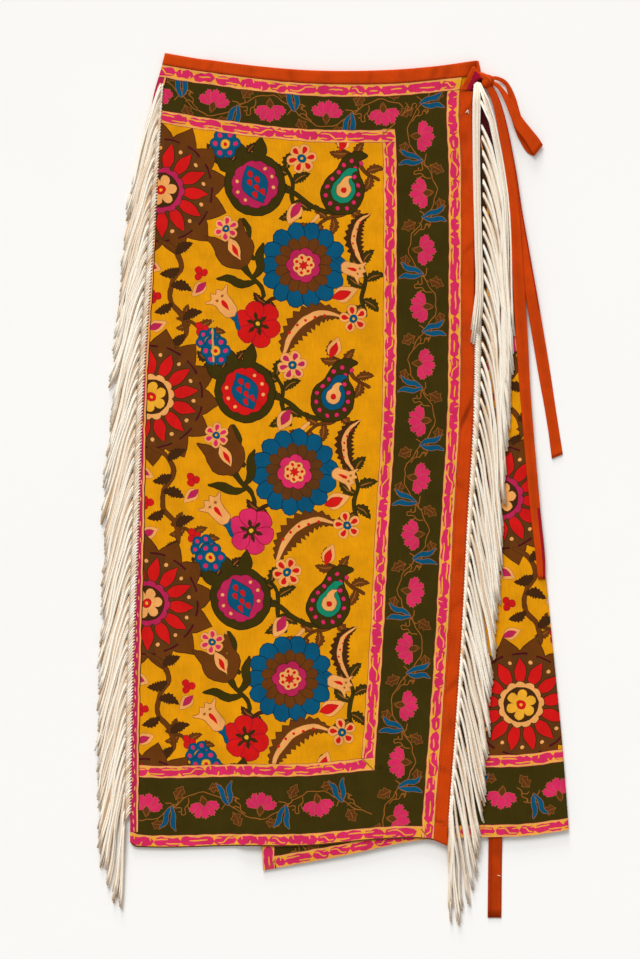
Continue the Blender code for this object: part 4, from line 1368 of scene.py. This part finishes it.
def heading_knots(line, side, top, bottom, outs, slant, pitch, height, tone, seed, spread=0.27):
    """The heading: short turns of cord side by side, slanting down from the cloth's edge.

    Outs gives how far out they reach at some heights. Tone is their mean shade, warm as painted shade of the
    recessed heading, and spread how far it varies.
    """
    chance = random.Random(seed)
    routes, shades = [], []
    for y in np.arange(top, bottom, -pitch):
        x = float(x_on(line, y))
        width = float(np.interp(y, *outs))
        rise = chance.uniform(-0.3, 0.3)
        places = (
            (-0.14, 0, height - 2.4), (0.12, 0.1, height - 0.4), (0.5, 0.46, height + rise),
            (1, 1, height - 0.6),
        )
        turns = [(x + side * width * across, y - slant * down_at, z, 1.15) for across, down_at, z in places]
        routes.append(np.array(turns))
        shades.append(min(max(chance.gauss(tone, spread), 0.0), 1.0))
    return routes, shades


def over_table(x, y, reach):
    """Underside of the left fringe: level with the panel at the heading, then down on the table."""
    return 3.2 + (0.4 - 3.2) * ease((reach - 0.1) / 0.5)


def left_way(reach, share):
    """The left cords keep their slant nearly to the end."""
    return reach**0.8


def left_start(y):
    """How far out the left cords leave the heading."""
    return float(np.interp(y, (300, 430), (6.6, 1.6)))


# Ivory cotton cord: soft and pale, each cord a little warmer or paler than the next. On the cords that lie deep
# and in the heading, the warm side is painted shade.
ivory_cord = twisted_cotton("ivory_cotton_cord", "#FFF6E6", "#D8AD78")
left_heading = smooth(LEFT_HEADING, 160)
routes, shades = fringe_cords(-1, LEFT_HEADING, LEFT_FALL, left_way, left_start, (9.0, 15.0), over_table, 11)
heading_widths = ((-352, 312, 442), (7.6, 7.6, 2.5))
more, more_shades = heading_knots(
    left_heading, -1, 442, -352, heading_widths, slant=12.0, pitch=3.4, height=4.0, tone=0.35, seed=3,
)
left_fringe = cord_tubes("left_fringe_cords", routes + more, shades + more_shades, ivory_cord)
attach(left_fringe, "root")
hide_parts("left_fringe")


# Right fringe
# The same fringe along the outer side of the edge binding. Its cords are longer near the waist, lie on the
# underlap and end below the hem. A few from the very top hang straight down, with their ends on the binding.

RIGHT_FALL = (
    (0, 268, 43.5), (0.07, 250, 41), (0.215, 208, 35), (0.42, 170, 30), (0.555, 136, 31), (0.69, 118, 31.5),
    (0.83, 116, 29.5), (0.895, 116, 28), (0.945, 118, 23), (0.975, 119, 17.5), (1, 113, 9),
)
LAST_FALL = ((0.9, 96, 1), (0.96, 112, 4), (1, 102, 5.5))
TOP_CORDS = (
    ((154.4, 440.6), (153.7, 433), (153.4, 371), (155.6, 261), (156.6, 217.5), (153.5, 190), (151, 173.5)),
    ((155.6, 441.8), (155.2, 434), (155, 371), (157, 261), (158, 217.5), (154.3, 184), (150.9, 160)),
    ((157, 442.8), (156.8, 434), (156.5, 371), (158.7, 261), (159.8, 217.5), (156.6, 184), (153, 158)),
    ((158, 442.6), (158.3, 434), (157.8, 371), (160.2, 261), (161.4, 210), (158.2, 169.5)),
    ((159, 442.6), (159.8, 433), (159.1, 371), (161.7, 261), (163.2, 215), (161.8, 187)),
    ((160.2, 441.8), (164.6, 433), (174, 409.7), (179.6, 384.7), (183.7, 365.2), (191.3, 315.6), (194, 272),
     (194.8, 217.5), (196.5, 173.9)),
    ((159.4, 441), (163, 431), (172, 409), (177.5, 384.2), (181.7, 364.6), (189.1, 315.6), (191.2, 272),
     (191.8, 217.5), (198, 167)),
    ((158.8, 440.2), (161.8, 429), (169.9, 408.2), (175.9, 383.7), (179.9, 364), (187.3, 315.6), (188.6, 272),
     (188.5, 217.5), (194.5, 173), (196.2, 147.5)),
    ((161, 422.9), (164.6, 420.2), (171.3, 406), (176.4, 383.1), (180.3, 363.5), (187.5, 315.6), (188, 272),
     (187.5, 217.5), (191, 170), (193.4, 130)),
    ((161, 420.7), (163.8, 417.4), (169.5, 403.8), (174.7, 382), (178.5, 362.4), (185.8, 315.6), (186.5, 272),
     (185.8, 217.5), (189.7, 163), (193.4, 118.3)),
)
TOP_CORD_POINTS = 14


def over_underlap(x, y, reach):
    """Underside of the right fringe: on the underlap down to the hem, then on the table."""
    return 4.5 + (0.4 - 4.5) * np.clip((-383 - y) / 37, 0, 1)


def right_way(reach, share):
    """The long cords soon turn down beside their heading, and the short ones lower down keep their slant."""
    early = 0.9 * (1 - np.exp(-reach / 0.2)) / (1 - math.exp(-5)) + 0.1 * reach**4
    return early + (reach**0.82 - early) * float(ease((share - 0.3) / 0.25))


def right_start(y):
    """How far out the right cords leave the heading."""
    return float(np.interp(y, (-368, -330, -110, 0, 100, 217, 434), (0.8, 2.6, 3.4, 5.4, 7.0, 8.6, 8.8)))


right_heading = np.stack([x_on(free_edge, binding_y) + BINDING_WIDTH + 0.6, binding_y], 1)[:355]
routes, shades = fringe_cords(
    1, right_heading, RIGHT_FALL, right_way, right_start, (4.2, 13.0), over_underlap, seed=23, first=2,
)
heading_widths = ((-366, -110, 0, 100, 200), (3.0, 3.6, 5.2, 6.6, 7.0))
for knots in (
    heading_knots(right_heading, 1, 200, 90, heading_widths, 7.0, 2.7, 6.0, tone=0.12, seed=9, spread=0.12),
    heading_knots(right_heading, 1, 96, -358, heading_widths, 13.0, 3.6, 6.0, tone=0.2, seed=10),
):
    routes += knots[0]
    shades += knots[1]
for cord, points in enumerate(TOP_CORDS):
    flat = smooth(points, TOP_CORD_POINTS)
    half = np.full(TOP_CORD_POINTS, CORD_HALF)
    half[0] *= 0.7
    rank = np.arange(TOP_CORD_POINTS)
    sinking = ease((rank - 9) / 4) if cord < 5 else 2.4 * ease(rank / 4)
    routes.append(np.column_stack([flat, 8.6 + 0.8 * (cord % 2) - 1.2 * sinking, half]))
    shades.append((0.1, 0.3, 0.0, 0.34, 0.05)[cord % 5])
last, last_shades = fringe_cords(
    1, right_heading, LAST_FALL, right_way, right_start, (5.0, 13.0), over_underlap, seed=41, first=51,
)
right_fringe = cord_tubes("right_fringe_cords", routes + last, shades + last_shades, ivory_cord)
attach(right_fringe, "root")
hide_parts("right_fringe")


# Tie root
# The tie of folded orange cotton where it leaves the top of the edge binding. Its edges open a little there,
# so that one half shows the print on its other side.

ROOT_ROWS = (
    (137.7, 434, 152.6, 434.3, 6.3), (141.8, 440.9, 153.8, 438.4, 6.7), (146.7, 449.3, 155.4, 441.7, 6.9),
    (153.7, 460.4, 158, 444.2, 6.8), (157.4, 455.8, 160.4, 445.8, 6.0), (162.4, 451.4, 163.4, 445.4, 5.4),
)


def root_print_and_shade(down_at, across, on_face):
    """The printed side shows between the root's outer fold and the knot, drawn in painted shade, darkest in its
    lower part.
    """
    open_from = float(np.interp(down_at, (0, 8, 17, 25, 30), (0.5, 0.5, 0.38, 0.25, 0.1)))
    if across < open_from or down_at > 31 or not on_face:
        return ORANGE
    return "#7E0A20" if across > 0.8 else "#A30A30"


root = smooth(ROOT_ROWS, 24)
root_left = np.column_stack([root[:, 0], root[:, 1], root[:, 4] + CLOTH])
root_right = np.column_stack([root[:, 2], root[:, 3], root[:, 4] + CLOTH])
tie_root = folded_strip(
    "tie_root_strip", root_left, root_right, facing_up(root), CLOTH,
    puckers=((6, 0.5, 4, 0.3), (15, 0.45, 6, 0.5)), columns=15, tone=root_print_and_shade,
)
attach(tie_root, "root")
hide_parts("tie_root")


# Bow knot
# The tie of orange cotton wrapped round itself and pulled tight. It makes a small flat-sided knot, on which
# the edges of the wrap show as grooves, darkened with painted shade.

KNOT_OUTLINE = (
    (159.4, 453.6), (163.2, 453.8), (167, 452), (171.7, 450.8), (174.9, 448.6), (176.2, 444.5),
    (175.2, 440.2), (172.2, 438.6), (169.4, 438), (166, 436.4), (163, 438.4), (162.2, 441.8),
    (162.6, 445.8), (160.4, 449),
)
KNOT_MIDDLE = (168.6, 445)
KNOT_SEAT = 5.6
KNOT_HALF_HEIGHT = 5.0
KNOT_FOLDS = (
    (((173, 450), (174.2, 446), (173.6, 442), (172, 439)), 1.1, 0.55),
    (((161, 451), (166, 448), (169.5, 444), (171, 440)), 0.7, 0.6),
    (((164, 452), (168, 449.6), (172, 447.5)), 0.5, 0.5),
)

bpy.ops.mesh.primitive_uv_sphere_add(segments=56, ring_count=28, radius=1.0)
bow_knot = bpy.context.object
bow_knot.name = "bow_knot_wrap"
knot_rim = closed(np.array(KNOT_OUTLINE), 56) - KNOT_MIDDLE
rim_turn = np.arctan2(knot_rim[:, 1], knot_rim[:, 0])
order = np.argsort(rim_turn)
rim_turn, rim_reach = rim_turn[order], np.linalg.norm(knot_rim, axis=1)[order]
# Painted shade: the knot's colour is darkened along each groove, as deep as the groove is.
knot_shade = []
for vertex in bow_knot.data.vertices:
    x, y, z = vertex.co
    turn = math.atan2(y, x)
    reach = math.hypot(x, y) * float(np.interp(turn, rim_turn, rim_reach, period=math.tau))
    place = np.array([KNOT_MIDDLE[0] + reach * math.cos(turn), KNOT_MIDDLE[1] + reach * math.sin(turn)])
    groove = 0.0
    if z > 0:
        for points, depth, wide in KNOT_FOLDS:
            far = np.linalg.norm(smooth(points, 24) - place, axis=1).min()
            groove += depth * z**0.3 * math.exp(-((far / wide) ** 2))
    vertex.co = (place[0] * MM, place[1] * MM, (KNOT_SEAT + KNOT_HALF_HEIGHT * z - groove) * MM)
    knot_shade.append(1 - CREASE_SHADE * min(groove, 1))
colours = np.tile((*linear(ORANGE), 1.0), (len(bow_knot.data.loops), 1))
corners = [corner.vertex_index for corner in bow_knot.data.loops]
colours[:, :3] *= np.array(knot_shade)[corners][:, None]
dye_corners(bow_knot.data, colours)
bow_knot.data.shade_smooth()
bow_knot.data.materials.append(orange_cotton)
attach(bow_knot, "root")
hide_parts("bow_knot")


# Bow loop
# The one loop of the bow, a length of the folded orange tie. It lies on the table beside the side fold, out
# along its lower ply and back over it to the knot. A row is its outer x and y, its inner x and y, and z.

LOOP_ROWS = (
    (171.6, 449.6, 173, 445.6, 5.6), (178, 449.8, 178.4, 445.4, 4.8), (184, 448.3, 183, 443.8, 3.4),
    (189.6, 445, 188.4, 439.8, 2.4), (195.2, 437, 191, 431.4, 1.6), (199.7, 426.7, 192.8, 425.2, 1.3),
    (205, 409, 194.6, 408.2, 1.3),
    (212, 392, 199, 391.6, 1.3), (220, 380.6, 204.4, 379.4, 1.3), (226.6, 377.2, 213, 366.5, 1.3),
    (228.2, 376.2, 218.2, 363.8, 1.8), (228.8, 375.8, 219, 363.6, 2.6), (228, 376.6, 218.6, 364.4, 4.0),
    (224.6, 381.8, 214.6, 370.6, 5.2), (217, 391, 208.6, 380.6, 6.0), (206.3, 404.5, 199.2, 392.6, 6.6),
    (199.4, 415.8, 192.6, 407.6, 6.9), (192.8, 425.9, 187.6, 421, 7.0), (186, 435.6, 182.4, 431.4, 6.7),
    (178.4, 442.6, 176.8, 438.4, 6.2), (171.8, 444.4, 170.6, 440.4, 5.6),
)
loop = smooth(LOOP_ROWS, 96)
outer = np.column_stack([loop[:, 0], loop[:, 1], loop[:, 4]])
inner = np.column_stack([loop[:, 2], loop[:, 3], loop[:, 4]])
facing = np.cross(inner - outer, np.gradient((outer + inner) / 2, axis=0))
facing /= np.linalg.norm(facing, axis=1)[:, None]
bow_loop = folded_strip(
    "bow_loop_strip", outer, inner, facing, 1.0, roll=1.1,
    puckers=((30, 0.5, 12, -0.4), (60, 0.4, 14, 0.3), (120, 0.45, 18, -0.35), (165, 0.5, 12, 0.4)),
)
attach(bow_loop, "root")
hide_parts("bow_loop")


# Upper tie end
# The tie end that runs down the side fold, a folded strip of orange cotton. It lies over the other end at
# first. A row is its y, its left x, its right x and the height that it lies at.

UPPER_TIE = (
    (441, 166, 172.6, 5.4), (434, 168.4, 176, 5.8), (425, 172.4, 180, 6.0), (414.5, 175.4, 183.4, 6.0),
    (391, 180, 188.8, 6.0), (370, 183.8, 193, 6.0), (343, 188, 198.4, 6.0), (310, 191.8, 202.6, 6.0),
    (270, 194, 205.8, 6.0), (217.5, 196.4, 209.2, 6.0), (163, 199.6, 212.6, 4.8), (117, 202.8, 214.8, 4.5),
    (80, 206, 217.4, 4.5), (30, 210.2, 221.6, 4.5), (-25.5, 215.5, 226.5, 4.5), (-77, 221.5, 231.5, 4.5),
    (-97.5, 223.5, 231.5, 4.5),
)


def upper_tone(down_at, across, on_face):
    """Past the second third the folded edges open, and the printed side shows down one half."""
    return "#9A1420" if across > 0.62 and down_at > 462 and on_face else ORANGE


def tie_side(rows, side):
    """One side of a tie end: the left one is 1 and the right one 2."""
    return np.column_stack([rows[:, side], rows[:, 0], rows[:, 3] + CLOTH])


upper = smooth(UPPER_TIE, 120)
upper_tie_end = folded_strip(
    "upper_tie_end_strip", tie_side(upper, 1), tie_side(upper, 2), facing_up(upper), CLOTH,
    puckers=(
        (40, 0.55, 40, 0.35), (110, 0.5, 30, -0.3), (180, 0.45, 50, 0.3), (270, 0.6, 40, 0.35),
        (360, 0.55, 50, 0.4), (450, 0.5, 45, 0.35), (505, 0.5, 12, -0.3),
    ), tone=upper_tone,
)
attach(upper_tie_end, "root")
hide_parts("upper_tie_end")


# Lower tie end
# The other end of the tie, of the same folded cotton. It starts under the first one, leaves the skirt at the
# side fold and swings out over the table, where it is cut slightly aslant.

LOWER_TIE = (
    (441, 167, 173.6, 3.9), (434, 169.4, 177.2, 4.3), (425, 173, 181.6, 4.5), (414.5, 176.5, 185.2, 4.5),
    (391, 181, 191.3, 4.5), (370, 184.8, 195.6, 4.5), (343, 189.2, 200.6, 4.5), (310, 194, 205.4, 4.5),
    (270, 199.5, 212.4, 4.5), (217.5, 208.5, 221.8, 4.5), (174, 216.2, 229.5, 2.2), (127, 224.2, 237.4, 0.4),
    (86.5, 231.5, 243.5, 0.0), (38.5, 239, 251, 0.0),
)


def lower_tone_with_shade(down_at, across, on_face):
    """Its right edge, beside the upper end, is turned, and shows darker there as painted shade."""
    return "#9E2205" if across > 0.8 and down_at < 250 and on_face else ORANGE


lower = smooth(LOWER_TIE, 100)
lower_left = tie_side(lower, 1)
lower_left[-6:, 1] -= np.linspace(0, 5, 6)
lower_tie_end = folded_strip(
    "lower_tie_end_strip", lower_left, tie_side(lower, 2), facing_up(lower), CLOTH,
    puckers=((150, 0.6, 40, 0.3), (230, 0.4, 30, -0.3), (300, 0.55, 40, 0.35), (380, 0.45, 20, 0.3)),
    tone=lower_tone_with_shade,
)
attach(lower_tie_end, "root")
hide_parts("lower_tie_end")


# Seam thread
# Orange thread, a shade darker than the cloth: the machine stitching along the waistband's lower edge, both
# edges of the binding, its turned end and the inner tie's side. The stitches are drawn a little coarse.

STITCH = 2.4
STITCH_PITCH = 3.3


def stitches(line, heights):
    """Short threads one after another along a line of points, each dipping into the cloth at its ends.

    Heights gives the cloth's height at x and y.
    """
    line = np.array(line, float)
    routes = []
    for begin in np.arange(1.0, length_of(line) - STITCH - 1, STITCH_PITCH):
        places = on_line(line, begin + np.array([0, 0.25, 0.75, 1]) * STITCH, np.zeros(4))
        height = heights(places[:, 0], places[:, 1])
        routes.append(np.column_stack([places, height + np.array([-0.25, 0.1, 0.1, -0.25]), np.full(4, 0.3)]))
    return routes


def on_binding(x, y):
    """Just in the face of the binding or the waistband, so that a stitch stands half out of it."""
    return front_height(x, y) + BINDING_THICK - 0.05


sewn = []
for inset in (1.7, BINDING_WIDTH - 1.5):
    sewn += stitches(np.stack([binding_x[4:-8] + inset, binding_y[4:-8]], 1), on_binding)
sewn += stitches(np.stack([band_x[2:-8], y_on(seam, band_x[2:-8]) + 2.0], 1), on_binding)
turned_end = ((binding_x[-10] + 1.5, -364.4), (binding_x[-10] + 13.4, -365.6))
sewn += stitches(turned_end, on_binding)
below_hem = tie_rows[tie_rows[:, 1] < -384]
sewn += stitches(below_hem[:, :2] + (13.6, 0), lambda x, y: np.full(len(x), CLOTH))
# Orange sewing thread: a line a shade darker than the cloth, twisted and without nap.
orange_thread = twisted_cotton("orange_sewing_thread", "#B03A05", "#862A04", 0.0)
chance = random.Random(61)
seam_thread = cord_tubes("seam_thread", sewn, [chance.random() for _ in sewn], orange_thread)
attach(seam_thread, "root")


# Thread ends
# Two short ends of ivory cotton from the fringes, one caught on the binding near the waist and one on the
# inner tie below the hem.

end_routes = []
for points in (
    ((144.8, 409.6), (146, 411.2), (147.4, 412.6), (147.2, 410.4), (148.4, 409)),
    ((179.8, -420.2), (181.4, -420.8), (183, -421.2)),
):
    flat = smooth(points, 9)
    height = on_binding(flat[:, 0], flat[:, 1]) + 0.5 if flat[0, 1] > 0 else np.full(9, CLOTH + 0.4)
    end_routes.append(np.column_stack([flat, height, np.full(9, 0.45)]))
thread_ends = cord_tubes("thread_ends", end_routes, [0.2, 0.6], ivory_cord)
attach(thread_ends, "root")
